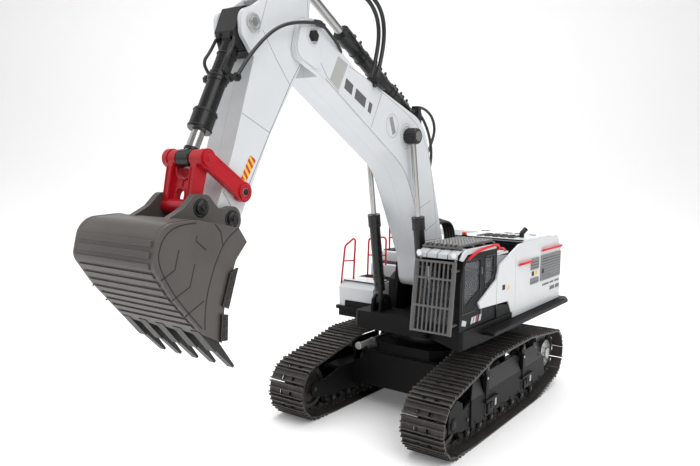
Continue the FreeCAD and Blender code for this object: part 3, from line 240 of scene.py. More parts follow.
# ---- mesh pieces
class Piece:
    """Many small solids of one material on one body, gathered into one named mesh."""
    waiting = []            # the pieces that aren't objects yet, in order

    def __init__(self, name, body, material, slot=None):
        self.name, self.body, self.material, self.slot = name, body, material, slot or material
        self.bm = bmesh.new()
        self.waiting.append(self)

    def loft(self, rings):
        """Skins rings of points, with caps on both ends."""
        rows = [[self.bm.verts.new(p) for p in ring] for ring in rings]
        count = len(rows[0])
        for a, b in zip(rows, rows[1:]):
            for i in range(count):
                j = (i + 1) % count
                self.bm.faces.new((a[i], a[j], b[j], b[i]))
        self.bm.faces.new(list(reversed(rows[0])))
        self.bm.faces.new(rows[-1])

    def plate(self, outline, x, thick, soft=0.12):
        """An outline of (y, z) in mm lying on the plane x, its outer edge softened."""
        out = 1 if x > 0 else -1
        self.loft([[pt(x + out * depth, *v) for v in shrunk(outline, pull)]
                   for depth, pull in ((-SUNK, 0), (thick - soft * 0.6, 0), (thick, soft))])

    def ribbon(self, line, width, x, thick, rounds=0):
        """A strip of even width along a line of (y, z) in mm on the plane x."""
        line = smooth(line, rounds)
        out = 1 if x > 0 else -1
        rows = []
        for i, p in enumerate(line):
            a, b = line[max(0, i - 1)], line[min(len(line) - 1, i + 1)]
            along = (b - a).normalized()
            side = Vector((-along.y, along.x)) * width / 2
            rows.append([pt(x - out * SUNK, *(p + side)), pt(x - out * SUNK, *(p - side)),
                         pt(x + out * thick, *(p - side * 0.7)), pt(x + out * thick, *(p + side * 0.7))])
        self.loft(rows)

    def rod(self, a, b, radius, sides=20, ends=0.0, start=None):
        """A round bar between two places in metres, its ends chamfered; start may be another radius."""
        a, b = Vector(a), Vector(b)
        along = (b - a).normalized()
        side = along.orthogonal().normalized()
        other = along.cross(side)
        first = radius if start is None else start
        length = (b - a).length / MM
        steps = [(0.0, first), (length, radius)]
        if ends:
            steps = [(0.0, first - ends), (ends, first), (length - ends, radius), (length, radius - ends)]
        self.loft([around(a + along * distance * MM, side, other, r, sides) for distance, r in steps])

    def pin(self, x0, x1, centre, radius, sides=20, ends=0.3):
        """A round bar across the machine from x0 to x1 in mm, round a centre (y, z)."""
        self.rod(pt(x0, *centre), pt(x1, *centre), radius, sides, ends)

    def tube_ring(self, centre, axis, radius, thick, sides=32, facets=8):
        """A torus round an axis."""
        axis = Vector(axis).normalized()
        side = axis.orthogonal().normalized()
        other = axis.cross(side)
        rows = []
        for angle in turns(sides):
            away = side * math.cos(angle) + other * math.sin(angle)
            ring = [centre + away * (radius + thick * math.cos(turn)) * MM + axis * thick * math.sin(turn) * MM
                    for turn in turns(facets)]
            rows.append([self.bm.verts.new(p) for p in ring])
        for i in range(sides):
            a, b = rows[i], rows[(i + 1) % sides]
            for k in range(facets):
                j = (k + 1) % facets
                self.bm.faces.new((a[k], b[k], b[j], a[j]))

    def collar(self, x, centre, radius, thick):
        """A ring across the machine at x in mm, round a centre (y, z)."""
        self.tube_ring(pt(x, *centre), (1, 0, 0), radius, thick)

    def bolt(self, place, axis, radius, height):
        """A hexagon head with a chamfered crown on a washer."""
        axis = Vector(axis).normalized()
        self.rod(place, place + axis * height * 0.25 * MM, radius * 1.3, 18, 0.1)
        self.rod(place + axis * height * 0.2 * MM, place + axis * height * MM, radius, 6, radius * 0.16)

    def block(self, low, high, soft=0.25):
        """A box between two machine-frame corners in mm, with every edge chamfered."""
        (x0, y0, z0), (x1, y1, z1) = low, high
        self.loft([[pt(x0 + pull, y0 + pull, z), pt(x1 - pull, y0 + pull, z),
                    pt(x1 - pull, y1 - pull, z), pt(x0 + pull, y1 - pull, z)]
                   for z, pull in ((z0, soft), (z0 + soft, 0), (z1 - soft, 0), (z1, soft))])

    def slab(self, outline, x0, x1, soft=0.2, side=1):
        """An outline of (y, z) in mm carried from x0 to x1 on one side, its end edges softened."""
        x0, x1 = sorted((x0 * side, x1 * side))
        self.loft([[pt(x, *v) for v in shrunk(outline, pull)]
                   for x, pull in ((x0, soft), (x0 + soft, 0), (x1 - soft, 0), (x1, soft))])

    def done(self):
        """The piece as an object, riding on its body."""
        self.waiting.remove(self)
        bmesh.ops.recalc_face_normals(self.bm, faces=self.bm.faces)
        mesh = bpy.data.meshes.new(self.name)
        self.bm.to_mesh(mesh)
        self.bm.free()
        mesh.shade_smooth()
        mesh.set_sharp_from_angle(angle=math.radians(32))
        thing = linked(self.name, mesh)
        mesh.materials.append(M[self.material])
        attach(thing, self.body)
        return thing


def shrunk(outline, pull):
    """An outline of (y, z) with each corner drawn towards the middle by pull in mm."""
    mid = Vector([sum(p[k] for p in outline) / len(outline) for k in (0, 1)])
    spokes = [Vector(p) - mid for p in outline]
    return [mid + v * max(0.0, 1 - pull / max(v.length, 0.01)) for v in spokes]


def around(centre, side, other, radius, count):
    """A ring of places in metres round a centre; side and other span its plane, and its radius is in mm."""
    return [centre + (side * math.cos(a) + other * math.sin(a)) * radius * MM for a in turns(count)]


def circle(centre, radius, angles, tall=1.0):
    """Points (y, z) round a centre."""
    return [(centre[0] + radius * math.cos(a), centre[1] + radius * math.sin(a) * tall) for a in angles]


def square(y0, y1, z0, z1):
    return [(y0, z0), (y1, z0), (y1, z1), (y0, z1)]


def smooth(line, rounds):
    """Corner cutting that keeps the ends."""
    line = [Vector(p) for p in line]
    for _ in range(rounds):
        finer = [line[0]]
        for a, b in zip(line, line[1:]):
            finer += [a.lerp(b, 0.25), a.lerp(b, 0.75)]
        line = finer + [line[-1]]
    return line


def inset(line, distance):
    """A line of (y, z) moved sideways by a distance in mm, to the left of its direction."""
    moved = []
    for i, p in enumerate(line):
        before, after = Vector(line[max(i - 1, 0)]), Vector(line[min(i + 1, len(line) - 1)])
        along = (after - before).normalized()
        moved.append((p[0] - along.y * distance, p[1] + along.x * distance))
    return moved


def filleted(points, steps=8):
    """An open line of (y, z) or (y, z, radius), its corners turned into arcs."""
    line = [Vector(points[0][:2])]
    for before, corner, after in zip(points, points[1:], points[2:]):
        c = Vector(corner[:2])
        back, ahead = (Vector(before[:2]) - c).normalized(), (Vector(after[:2]) - c).normalized()
        radius = corner[2] if len(corner) > 2 else 0.0
        if radius == 0.0:
            line.append(c)
            continue
        half = back.angle(ahead) / 2
        reach = radius / math.tan(half)
        middle = c + (back + ahead).normalized() * (radius / math.sin(half))
        first, last = c + back * reach - middle, c + ahead * reach - middle
        line += [middle + first.lerp(last, k / steps).normalized() * radius for k in range(steps + 1)]
    return line + [Vector(points[-1][:2])]


def sweep(piece, line, radius, sides=14):
    """A round bar bent along places in metres, with no twist."""
    line = [Vector(p) for p in line]
    side = (line[1] - line[0]).orthogonal().normalized()
    rows = []
    for i, p in enumerate(line):
        along = (line[min(i + 1, len(line) - 1)] - line[max(i - 1, 0)]).normalized()
        side = (side - along * side.dot(along)).normalized()
        rows.append(around(p, side, along.cross(side), radius, sides))
    piece.loft(rows)


def hose(name, route, radius, bodies, nodes=()):
    """A smooth hose through machine-frame points; on one body it rides on that body, and on two it is left in
    place, riding on neither.
    """
    curve = bpy.data.curves.new(name, "CURVE")
    curve.dimensions = "3D"
    spline = curve.splines.new("NURBS")
    spline.points.add(len(route) - 1)
    for target, place in zip(spline.points, route):
        target.co = (*pt(*place), 1.0)
    spline.order_u = 4
    spline.use_endpoint_u = True
    spline.resolution_u = 12
    curve.bevel_depth = radius * MM
    curve.bevel_resolution = 5
    curve.use_fill_caps = True
    holder = linked(name + "_line", curve)
    bpy.context.view_layer.update()
    mesh = bpy.data.meshes.new_from_object(holder.evaluated_get(bpy.context.evaluated_depsgraph_get()))
    bpy.data.objects.remove(holder)
    bpy.data.curves.remove(curve)
    mesh.name = name
    mesh.shade_smooth()
    mesh.materials.clear()
    mesh.materials.append(M["hose_rubber"])
    thing = linked(name, mesh)
    if len(bodies) == 2:
        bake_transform(thing)
    else:
        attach(thing, bodies[0])
    if nodes:
        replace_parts(thing, *nodes)


# ---- boom and arm
BOOM_LINES = [
    [(-121.6, 308.3), (-137.5, 277.8)],
    [(-183.4, 304.4), (-171.6, 326.0)],
    [(-31.4, 214.0), (-52.4, 207.0)],
    [(-20.0, 192.0), (-43.7, 183.7)],
    [(-11.0, 175.0), (-41.0, 175.0)],
    [(-229.0, 342.7), (-227.0, 346.6), (-212.0, 330.0), (-198.0, 313.0)],
    [(-198.0, 313.0), (-182.7, 303.0)],
]
BOOM_FOLD = [(-200.0, 311.6), (-184.0, 302.4), (-137.5, 276.2), (-103.0, 256.8), (-92.0, 250.6),
             (-83.0, 243.2), (-75.5, 233.8), (-69.0, 222.5), (-52.0, 191.3), (-38.0, 165.6)]
BOOM_EDGE = [(-169.5, 327.1), (-147.3, 321.3), (-121.5, 311.6), (-93.7, 301.6), (-72.4, 293.6),
             (-58.9, 286.3), (-47.0, 275.6), (-36.9, 261.1), (-30.0, 243.6), (-24.1, 223.7), (-19.5, 200.0),
             (-16.5, 180.0)]


def boom_details():
    """Panel lines, a painted shade patch by the nose, generic stripes, pin heads and collars on both of the
    boom's faces.
    """
    lines = Piece("boom_panel_lines", "boom", "panel_line", "white_cast")
    full_turn = [2 * math.pi * i / 40 for i in range(41)]
    for side in SIDES:
        face = BOOM_X * side
        for line in BOOM_LINES:
            lines.ribbon(line, 0.55, face, LINE)
        lines.ribbon(BOOM_FOLD, 0.6, face, LINE, rounds=2)
        lines.ribbon(inset(BOOM_EDGE, -2.6), 0.45, face, LINE, rounds=2)
        for centre, radius in ((LIFT_EYE, 10.5), (LIFT_EYE, 8.2), ((-104.0, 281.5), 9.5)):
            lines.ribbon(circle(centre, radius, full_turn, 1.08), 0.4, face, LINE)

    # A pale grey patch between the nose plate and the boom: painted shade.
    shade = Piece("boom_nose_painted_shade", "boom", "pale_grey", "white_cast")
    slots = Piece("boom_slots", "boom", "louvre_grey", "white_cast")
    marks = Piece("boom_stripes", "boom", "mark_grey", "white_cast")
    slope, lean = (0.905, -0.425), (2.6, 8.2)   # the way along the boom there, and a stripe's slant
    for side in SIDES:
        face = BOOM_X * side
        shade.plate([(-183.9, 304.9), (-172.3, 326.2), (-184.2, 330.6), (-194.4, 311.6)], face, 0.1, 0.05)
        slots.plate([(-109.4, 288.0), (-104.4, 290.0), (-98.4, 275.8), (-103.4, 273.6)], face, 0.2, 0.1)
        for start, length in ((-176.0, 11.0), (-162.0, 16.0), (-143.0, 5.0)):
            low = (start, 311.5 - 0.47 * (start + 176) - 4.6)
            far = (low[0] + length * slope[0], low[1] + length * slope[1])
            marks.plate([low, far, (far[0] + lean[0], far[1] + lean[1]), (low[0] + lean[0], low[1] + lean[1])],
                        face, 0.12, 0.05)

    pins = Piece("boom_pin_heads", "boom", "black_metal")
    collars = Piece("boom_tip_collars", "boom", "white_cast")
    for side in SIDES:
        face = BOOM_X * side
        pins.pin(face + side * 3.3, face + side * 4.0, BOOM_TIP, 3.0, 24)
        pins.pin(face + side * 7.3, face + side * 8.1, BOOM_FOOT, 5.6, 32)
        for place in circle(BOOM_FOOT, 9.0, [math.radians(angle) for angle in (40, 160, 280)]):
            pins.bolt(pt(face, *place), (side, 0, 0), 0.9, 0.35)
        collars.collar((BOOM_X + 0.9) * side, BOOM_TIP, 6.4, 0.9)
        collars.collar(face, LIFT_EYE, 9.4, 0.5)


def line_of(start, end):
    """The start of a line between two pivots and the way along it, both as (y, z)."""
    return Vector(start), (Vector(end) - Vector(start)).normalized()


def cylinder_details():
    """Black eyes on the rods, bands, clips and ports on the barrels."""
    eyes = Piece("lift_rod_eyes", "lift_rods", "black_metal")
    for side in SIDES:
        eyes.pin(18.9 * side, 30.6 * side, LIFT_EYE, 6.9, 36, 0.5)
        for place in circle(LIFT_EYE, 6.8, turns(18)):
            eyes.pin(20.2 * side, 29.2 * side, place, 0.55, 6, 0.0)
    eye = Piece("bucket_rod_eye", "bucket_cylinder_rod", "black_metal")
    eye.pin(-5.75, 5.75, LINK_TOP, 6.25, 32, 0.5)
    foot, along = line_of(LINK_TOP, BUCKET_CYL)
    eye.rod(pt(0, *(foot + along * 5.0)), pt(0, *(foot + along * 7.6)), 5.2, 28, 0.6)

    bands = Piece("lift_barrel_bands", "lift_barrels", "black_metal")
    base, along = line_of(LIFT_BASE, LIFT_EYE)
    for side in SIDES:
        for distance, radius in ((16.0, 5.3), (34.0, 5.3), (78.0, 6.15), (86.0, 6.15)):
            bands.tube_ring(pt(LIFT_X * side, *(base + along * distance)), (0, *along), radius, 0.2)
        for distance in (19.0, 31.0):
            centre = base + along * distance
            bands.bolt(pt(LIFT_X * side, centre.x - 5.0, centre.y - 1.5), (0, -1, -0.3), 1.1, 1.6)

    clips = Piece("arm_cylinder_clips", "arm_cylinder_barrel", "black_metal")
    base, along = line_of(ARM_CYL_BASE, ARM_CYL_EYE)
    up = Vector((along.y, -along.x))
    for distance in (12.0, 24.0, 36.0, 55.0, 72.0, 100.0):
        centre = base + along * distance
        foot = centre + up * 6.2
        clips.tube_ring(pt(0, *centre), (0, *along), 6.6, 0.45)
        clips.rod(pt(2.2, *foot), pt(2.2, *(foot + up * 2.6)), 1.3, 10, 0.2)
        clips.bolt(pt(2.2, *(foot + up * 2.4)), (0, *up), 0.9, 1.0)

    fits = Piece("bucket_cylinder_fittings", "bucket_cylinder_barrel", "black_metal")
    top, along = line_of(BUCKET_CYL, LINK_TOP)
    for distance, radius in ((26.0, 6.6), (43.0, 7.2), (69.5, 8.1), (80.5, 8.1)):
        fits.tube_ring(pt(0, *(top + along * distance)), (0, *along), radius, 0.4)
    for x0, x1 in ((-12.6, -9.6), (9.6, 12.6), (15.4, 18.9)):
        fits.pin(x0, x1, top + along * 43.0, 3.0, 6)
    for x in (-5.0, 5.0):
        fits.bolt(pt(x, -286.4, 332.0), (0, -0.93, -0.36), 1.3, 1.5)


ARM_LINES = [
    [(-263.4, 337.4), (-250.0, 320.0), (-235.0, 303.3)],
    [(-283.3, 279.9), (-255.9, 268.0)],
    [(-300.5, 228.0), (-284.5, 206.0)],
]
ARM_EDGE = [(-223.0, 319.0), (-234.1, 303.3), (-255.4, 267.7), (-276.1, 231.2)]
HAZARD = ((-275.7, 252.2), (-269.8, 248.9), (-279.5, 234.0), (-284.2, 236.7))


def clip(shape):
    """Keeps the part of an outline of (s, t) with s from 0 to 1."""
    for limit, keep in ((0.0, 1), (1.0, -1)):
        kept = []
        for i, p in enumerate(shape):
            q = shape[(i + 1) % len(shape)]
            inside_p, inside_q = (p.x - limit) * keep >= 0, (q.x - limit) * keep >= 0
            if inside_p:
                kept.append(p)
            if inside_p != inside_q:
                kept.append(p.lerp(q, (limit - p.x) / (q.x - p.x)))
        shape = kept
    return shape


def hazard_patch(stripes=8, slant=1.4):
    """A generic slanted stripe in two colours, cut to the patch's four corners."""
    a, b, c, d = [Vector(p) for p in HAZARD]
    for material, first in (("mark_yellow", 0), ("mark_red", 1)):
        patch = Piece("arm_hazard_" + material[5:], "arm", material, "white_cast")
        for side in SIDES:
            for k in range(first - 2, stripes, 2):
                shape = clip([Vector(((k + share + slant * lean) / stripes, lean))
                              for share, lean in ((0, 0), (1, 0), (1, 1), (0, 1))])
                if len(shape) > 2:
                    patch.plate([tuple(a.lerp(d, v.x).lerp(b.lerp(c, v.x), v.y)) for v in shape],
                                ARM_X * side, 0.14, 0.02)


def arm_details():
    """Panel lines and the hazard patch on the arm, and the heads of its pins and of the rockers'."""
    lines = Piece("arm_panel_lines", "arm", "panel_line", "white_cast")
    for side in SIDES:
        face = ARM_X * side
        for line in ARM_LINES:
            lines.ribbon(line, 0.5, face, LINE)
        lines.ribbon(inset(ARM_EDGE, -0.9), 0.75, face, LINE)
        lines.ribbon([(-216.3, 367.0), (-214.9, 353.4)], 0.5, face, LINE)
        lines.ribbon([(-259.6, 358.0), (-268.0, 334.0)], 0.5, face, LINE)
        lines.ribbon(circle(BOOM_TIP, 13.5, [math.radians(100 + 4 * i) for i in range(40)]), 0.4, face, LINE)
    hazard_patch()

    heads = Piece("arm_pin_heads", "arm", "bright_steel")
    dark = Piece("arm_foot_pin_heads", "arm", "black_metal")
    studs = Piece("rocker_pin_heads", "rockers", "red_paint")
    top, foot = Vector(LINK_TOP), Vector(ROCKER_PIN)
    across = Vector((top.y - foot.y, foot.x - top.x)).normalized()
    for side in SIDES:
        face = (ARM_X + 1.8) * side
        heads.collar(face, BUCKET_CYL, 4.6, 0.45)
        heads.pin(face, face + side * 0.5, BUCKET_CYL, 3.2, 28, 0.25)
        dark.bolt(pt(19.6 * side, *ROCKER_PIN), (side, 0, 0), 1.9, 0.9)
        studs.bolt(pt(20.3 * side, *LINK_TOP), (side, 0, 0), 2.0, 1.1)
        studs.collar(18.9 * side, LINK_TOP, 4.4, 0.5)
        studs.collar(19.1 * side, ROCKER_PIN, 4.6, 0.7)
        for shift in (-4.6, 4.6):
            ends = [top.lerp(foot, share) + across * shift for share in (0.2, 0.8)]
            studs.ribbon(ends, 1.0, 18.4 * side, 0.4)


# ---- bucket
BUCKET_GROOVES = [
    [(-357.9, 197.1), (-360.8, 186.0), (-370.5, 181.1)],
    [(-346.2, 187.8), (-350.0, 174.9), (-363.1, 168.7)],
    [(-344.6, 204.0), (-345.4, 201.2), (-337.8, 195.2)],
    [(-339.5, 165.1), (-353.8, 158.0)],
    [(-330.7, 210.2), (-326.0, 205.0), (-324.3, 197.0)],
]
BUCKET_BAND = [(-310.8, 206.5), (-318.0, 202.5), (-324.3, 197.0), (-331.0, 185.0), (-336.3, 171.2),
               (-338.6, 159.0), (-338.8, 147.5)]
BUCKET_RIM = [(-345.0, 211.6), (-358.0, 211.0), (-367.5, 206.5), (-372.2, 197.0), (-371.5, 189.0),
              (-367.0, 180.5), (-361.5, 171.8), (-351.0, 159.3), (-341.0, 148.6)]
# Points of the back's outline, (y, z) or (y, z, radius).
BUCKET_BACK = [(-325.2, 136.9), (-340.4, 144.8), (-363.7, 170.6, 60), (-376.2, 189.0, 9), (-371.2, 212.0, 14),
               (-345.0, 213.4, 16), (-330.0, 210.4)]


def link_ribs():
    """Raised ridges round the link's two openings and on its cheeks."""
    ribs = Piece("link_ribs", "bucket_link", "red_paint")
    top, down = line_of(LINK_TOP, LINK_FOOT)
    front = Vector((down.y, -down.x))

    def spot(x, along, out=1.7):
        return pt(x, *(top + down * along + front * out))
    upper = [spot(8.0 * math.cos(a), 6 + 8.0 * math.sin(a)) for a in [math.pi * k / 24 for k in range(25)]]
    lower = [spot(-4.6 * math.cos(a), 24 - 4.6 * math.sin(a)) for a in [math.pi * k / 18 for k in range(19)]]
    sweep(ribs, upper, 0.9)
    sweep(ribs, [spot(-4.6, 29), *lower, spot(4.6, 29)], 0.9)
    ribs.rod(spot(0, 13.6), spot(0, 19.8), 0.9, 14)
    for x in (-9.2, -13.2, 9.2, 13.2):
        sweep(ribs, [spot(x, 6.0, 4.9), spot(x, 16.0, 4.6), spot(x, 26.0, 4.2)], 0.55)


def bucket_details():
    """Grooves on the bucket's cheeks and back, and its pin heads."""
    grooves = Piece("bucket_grooves", "bucket", "groove", "bucket_metal")
    edges = Piece("bucket_back_lines", "bucket", "groove", "bucket_metal")
    heads = Piece("bucket_pin_heads", "bucket", "black_metal")
    for side in SIDES:
        face = BUCKET_X * side
        for line in BUCKET_GROOVES:
            grooves.ribbon(line, 1.05, face, LINE)
        grooves.ribbon(BUCKET_BAND, 1.1, face, LINE, rounds=3)
        grooves.ribbon(BUCKET_RIM, 1.0, face, LINE, rounds=3)
        grooves.ribbon([(-349.8, 212.8), (-337.7, 212.1), (-330.7, 210.2), (-318.0, 207.6)], 0.6, 19.0 * side,
                       0.04)
        sweep(edges, [pt(-34.95 * side, *p) for p in filleted(BUCKET_BACK)], 0.3, 8)
        for centre in (LINK_FOOT, BUCKET_PIN):
            heads.pin(19.2 * side, 20.9 * side, centre, 4.4, 28, 0.5)
            heads.collar(20.9 * side, centre, 3.0, 0.4)
            heads.bolt(pt(20.9 * side, *centre), (side, 0, 0), 1.7, 1.3)
            heads.collar(19.0 * side, centre, 5.6, 0.5)


# ---- upper body
SLAT_PITCH = 1.45       # between the vent's slats, in mm
HOOD_Z = 171.9          # the hood's top, in mm


def cover_details():
    """Seams and a painted shade line at a fold, vent slats, generic marks and rail feet on the white cover,
    and the dark front of the hood.
    """
    seams = Piece("cover_seams_and_fold_shade", "upper", "panel_line", "white_cover")
    seams.ribbon([(-15.0, 141.0), (-15.0, 113.0)], 0.6, BODY_X, LINE)
    # A thin dark line where the cover folds, standing in for the change of shading there: painted shade.
    seams.ribbon([(29.0, 160.0), (31.5, 108.0)], 0.35, BODY_X, 0.04)
    seams.ribbon([(163.0, 158.0), (163.0, 106.0)], 0.35, BODY_X, 0.04)
    for x0, x1, y0, y1 in ((6, 78, 62, 62.5), (6, 78, 108, 108.5), (6, 6.5, 62, 108), (77.5, 78, 62, 108),
                           (30, 30.4, 108, 130)):
        seams.block((x0, y0, 171.95), (x1, y1, 172.06), 0.02)
    slats = Piece("cover_vent_slats", "upper", "louvre_grey", "black_moulding")
    for y0, y1, z0, z1 in ((100, 162, 124.3, 152.3), (71, 92.5, 139.5, 152), (71, 92.5, 124.3, 130.6)):
        slats.plate(square(y0, y1, z0, z1), BODY_X, 0.75, 0.2)
        z = z0 + 1.1
        while z < z1 - 0.9:
            slats.plate(square(y0 + 1.2, y1 - 1.2, z, z + 0.75), BODY_X + 0.7, 0.5, 0.25)
            z += SLAT_PITCH
        a, b, c, d = square(y0 + 0.4, y1 - 0.4, z0 + 0.4, z1 - 0.4)
        for ends in ((a, b), (d, c), (a, d), (b, c)):
            slats.ribbon(ends, 0.8, BODY_X + 0.7, 0.6)
    dark = Piece("cover_marks_black", "upper", "groove", "white_cover")
    for y, z in ((1.4, 131.2), (78.0, 135.2)):
        dark.plate(square(y - 3.4, y + 3.4, z - 2.5, z + 2.5), BODY_X, 0.12, 0.05)
    dark.plate(square(101.5, 108.0, 132.6, 137.6), BODY_X + 1.2, 0.2, 0.05)
    bright = Piece("cover_marks_yellow", "upper", "mark_yellow", "white_cover")
    bright.plate(square(84.0, 91.6, 132.8, 137.6), BODY_X, 0.12, 0.05)
    bright.plate([(9.8, 128.0), (16.6, 128.0), (13.2, 133.2)], BODY_X, 0.12, 0.05)
    bars = Piece("cover_bars", "upper", "mark_grey", "white_cover")
    for y0, y1, z0, z1 in ((107, 128, 118.0, 120.2), (131, 143, 118.0, 120.2), (146, 161, 118.0, 120.2),
                           (131, 146, 110.4, 114.6), (149, 162, 110.4, 114.6)):
        lean = (z1 - z0) * 0.35
        bars.plate([(y0, z0), (y1, z0), (y1 + lean, z1), (y0 + lean, z1)], BODY_X, 0.1, 0.05)
    feet = Piece("rail_feet", "upper", "light_plate", "white_cover")
    for y, z in ((102, 158.5), (162, 158.5), (37, 150), (70, 150)):
        feet.pin(BODY_X, BODY_X + 1.2, (y, z - 0.5), 2.3)
    front = Piece("hood_front_band", "upper", "black_moulding")
    front.block((2.5, 51.2, 149.5), (80.2, 51.96, 170.6), 0.3)
    for i in range(8):
        front.block((8 + 9 * i, 50.7, 153), (13 + 9 * i, 51.4, 167), 0.2)
    slots = Piece("hood_top_slots", "upper", "groove", "black_moulding")
    for x, y, w, d in ((-1, 128, 9, 4.5), (32, 119, 8, 4.5), (43, 119, 8, 4.5), (62, 116, 7, 3.5)):
        slots.block((x, y, 170.2 if x < 2 else HOOD_Z), (x + w, y + d, 172.5))


def far_side_details():
    """Seams, a vent and generic marks on the stepped side, and seams on the sloping rear."""
    seams = Piece("far_side_seams", "upper", "panel_line", "white_cover")
    for line in ([(70.0, 160.5), (70.0, 100.0)], [(126.0, 160.5), (126.0, 100.0)],
                 [(70.0, 112.0), (126.0, 112.0)], [(41.0, 147.0), (41.0, 104.0)],
                 [(22.0, 134.0), (22.0, 104.0)]):
        seams.ribbon(line, 0.5, FAR_X, LINE)
    for x0, x1 in ((-62.0, -61.5), (61.5, 62.0), (-0.25, 0.25)):
        seams.slab([(151.5, 171.2), (176.5, 155.7), (176.5, 155.9), (151.5, 171.4)], x0, x1, 0.05)
    slats = Piece("far_side_vent", "upper", "louvre_grey", "black_moulding")
    slats.plate(square(78, 118, 124, 152), FAR_X, 0.6, 0.2)
    for i in range(17):
        slats.plate(square(79.5, 116.5, 125.4 + 1.55 * i, 126.2 + 1.55 * i), FAR_X - 0.5, 0.5, 0.2)
    marks = Piece("far_side_marks", "upper", "mark_grey", "white_cover")
    for y0, y1 in ((78, 96), (99, 110), (112, 119)):
        marks.plate(square(y0, y1, 117.0, 119.2), FAR_X, 0.1, 0.05)
    marks.plate(square(27, 32, 118, 123), FAR_X, 0.12, 0.05)
    warn = Piece("far_side_triangle", "upper", "mark_yellow", "white_cover")
    warn.plate([(34.0, 118.0), (39.6, 118.0), (36.8, 122.8)], FAR_X, 0.12, 0.05)


def cab_roof_details():
    """White visor panels and roof edge, the slots between them and the lamps on the cab's front."""
    white = Piece("cab_roof_panels", "upper", "light_plate", "white_cover")
    for x0, x1 in ((38.4, 47.4), (48.2, 57.6), (58.4, 67.8), (68.6, 77.6)):
        white.slab([(-90.5, 166.8), (-90.6, 170.6), (-78.0, 175.0), (-74.0, 175.0), (-74.0, 174.3),
                    (-78.0, 174.2), (-89.9, 170.1), (-89.8, 166.8)], x0, x1)
    white.slab([(-89.0, 166.4), (-82.0, 173.4), (-77.0, 175.0), (-15.0, 174.6), (-15.0, 170.6),
                (-77.0, 170.4), (-85.0, 165.2)], 78.1, 80.6, 0.5)
    gaps = Piece("cab_roof_slots", "upper", "groove", "black_moulding")
    for x in (46.0, 57.4, 66.0):
        gaps.slab([(-82.2, 173.6), (-79.4, 174.7), (-79.4, 175.3), (-82.2, 174.2)], x, x + 3.6)
    shells = Piece("lamp_shells", "upper", "light_plate", "white_cover")
    glass = Piece("lamp_lenses", "upper", "lamp_white", "lens")
    for x in (41.0, 75.0):
        shells.rod(pt(x, -87.5, 170.6), pt(x, -91.8, 170.4), 3.1, 24, 0.3, start=2.2)
        shells.rod(pt(x, -88.5, 165.0), pt(x, -88.5, 168.0), 0.9, 12, 0.1)
        glass.rod(pt(x, -91.6, 170.4), pt(x, -92.6, 170.4), 2.6, 24, 0.5)


def beacon_details():
    """The beacon's lens and the socket that it sits in."""
    beacon = Piece("beacon_lens", "upper", "lens", "lens")
    beacon.rod(pt(12, 56, 173.4), pt(12, 56, 176.6), 2.5, 24, 0.7)
    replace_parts(beacon.done(), "lamps")
    socket = Piece("beacon_socket", "upper", "black_moulding")
    socket.rod(pt(12, 56, HOOD_Z), pt(12, 56, 173.6), 3.0, 24, 0.4)


def cab_side_details():
    """Window seals, door line and handle, skirt marks, and the panel, ledge and grip behind the cab."""
    seals = Piece("window_seals", "upper", "black_metal", "black_moulding")
    for loop in ([(-84, 122), (-83, 158), (-78, 165), (-48, 165), (-48, 131), (-60, 118), (-84, 118)],
                 [(-38, 165), (-19, 165), (-19, 146), (-30, 134), (-38, 137)]):
        seals.ribbon(loop + [loop[0]], 1.1, CAB_X, 0.45)
    seals.ribbon([(-44.2, 168), (-44.2, 116), (-56, 107.5)], 0.5, CAB_X, 0.12)
    handle = Piece("cab_door_handle", "upper", "guard_alloy")
    handle.plate(square(-54, -47.5, 121.5, 124), CAB_X, 1.0, 0.4)
    for z in (150, 113):
        handle.plate(square(-46.5, -44.9, z, z + 6), CAB_X, 0.8, 0.3)
    plates = Piece("cab_skirt_plates", "upper", "light_plate", "white_cover")
    plates.plate([(-84.0, 108.6), (-76.0, 106.6), (-74.6, 111.2), (-82.6, 113.4)], CAB_X, 0.25, 0.3)
    for y in (-66.0, -60.5, -49.5):
        plates.plate([(y, 106.8), (y + 4.2, 107.2), (y + 6.2, 113.0), (y + 2.0, 112.6)], CAB_X, 0.15, 0.1)
    mark = Piece("cab_skirt_mark", "upper", "mark_red", "white_cover")
    mark.plate([(-55.0, 107.0), (-52.6, 107.2), (-50.4, 113.2), (-52.8, 113.0)], CAB_X, 0.15, 0.1)
    panel = Piece("cab_rear_quarter", "upper", "louvre_grey", "white_cover")
    panel.slab([(-11.6, 139.0), (-11.6, 163.6), (16.5, 161.2)], 76.0, 79.6, 0.4)
    ledge = Piece("cab_rear_ledge", "upper", "light_plate", "white_cover")
    ledge.block((60, -11.6, 163.2), (79.8, 15, 165.4), 0.4)
    grip = Piece("cab_rear_grip", "upper", "red_rail", "red_paint")
    line = smooth([pt(78, -11, 165.2), pt(78, -9.5, 170.0), pt(78, 0, 169.6), pt(78, 10, 167.4),
                   pt(78, 13, 164.6)], 2)
    for a, b in zip(line, line[1:]):
        grip.rod(a, b, 1.1, 12)
    skirt = Piece("body_skirt", "upper", "black_moulding")
    skirt.slab([(-12.5, 103.2), (-12.5, 116.0), (22.0, 112.0), (24.0, 103.2)], 79.4, 81.2, 0.3)
    hem = Piece("cover_hem", "upper", "white_cover")
    hem.slab([(24.0, 97.6), (23.4, 103.6), (163.6, 103.6), (163.6, 97.6)], 82.05, 82.5, 0.15)


def eased(route, most=2.2):
    """A line of (y, z) or (x, z) with each corner cut to three points, up to most mm from the corner."""
    route = [Vector(p) for p in route]
    line = [route[0]]
    for before, corner, after in zip(route, route[1:], route[2:]):
        pull = min(most, (before - corner).length * 0.4, (after - corner).length * 0.4)
        first = corner + (before - corner).normalized() * pull
        last = corner + (after - corner).normalized() * pull
        line += [first, first.lerp(corner, 0.5).lerp(corner.lerp(last, 0.5), 0.5), last]
    return line + [route[-1]]


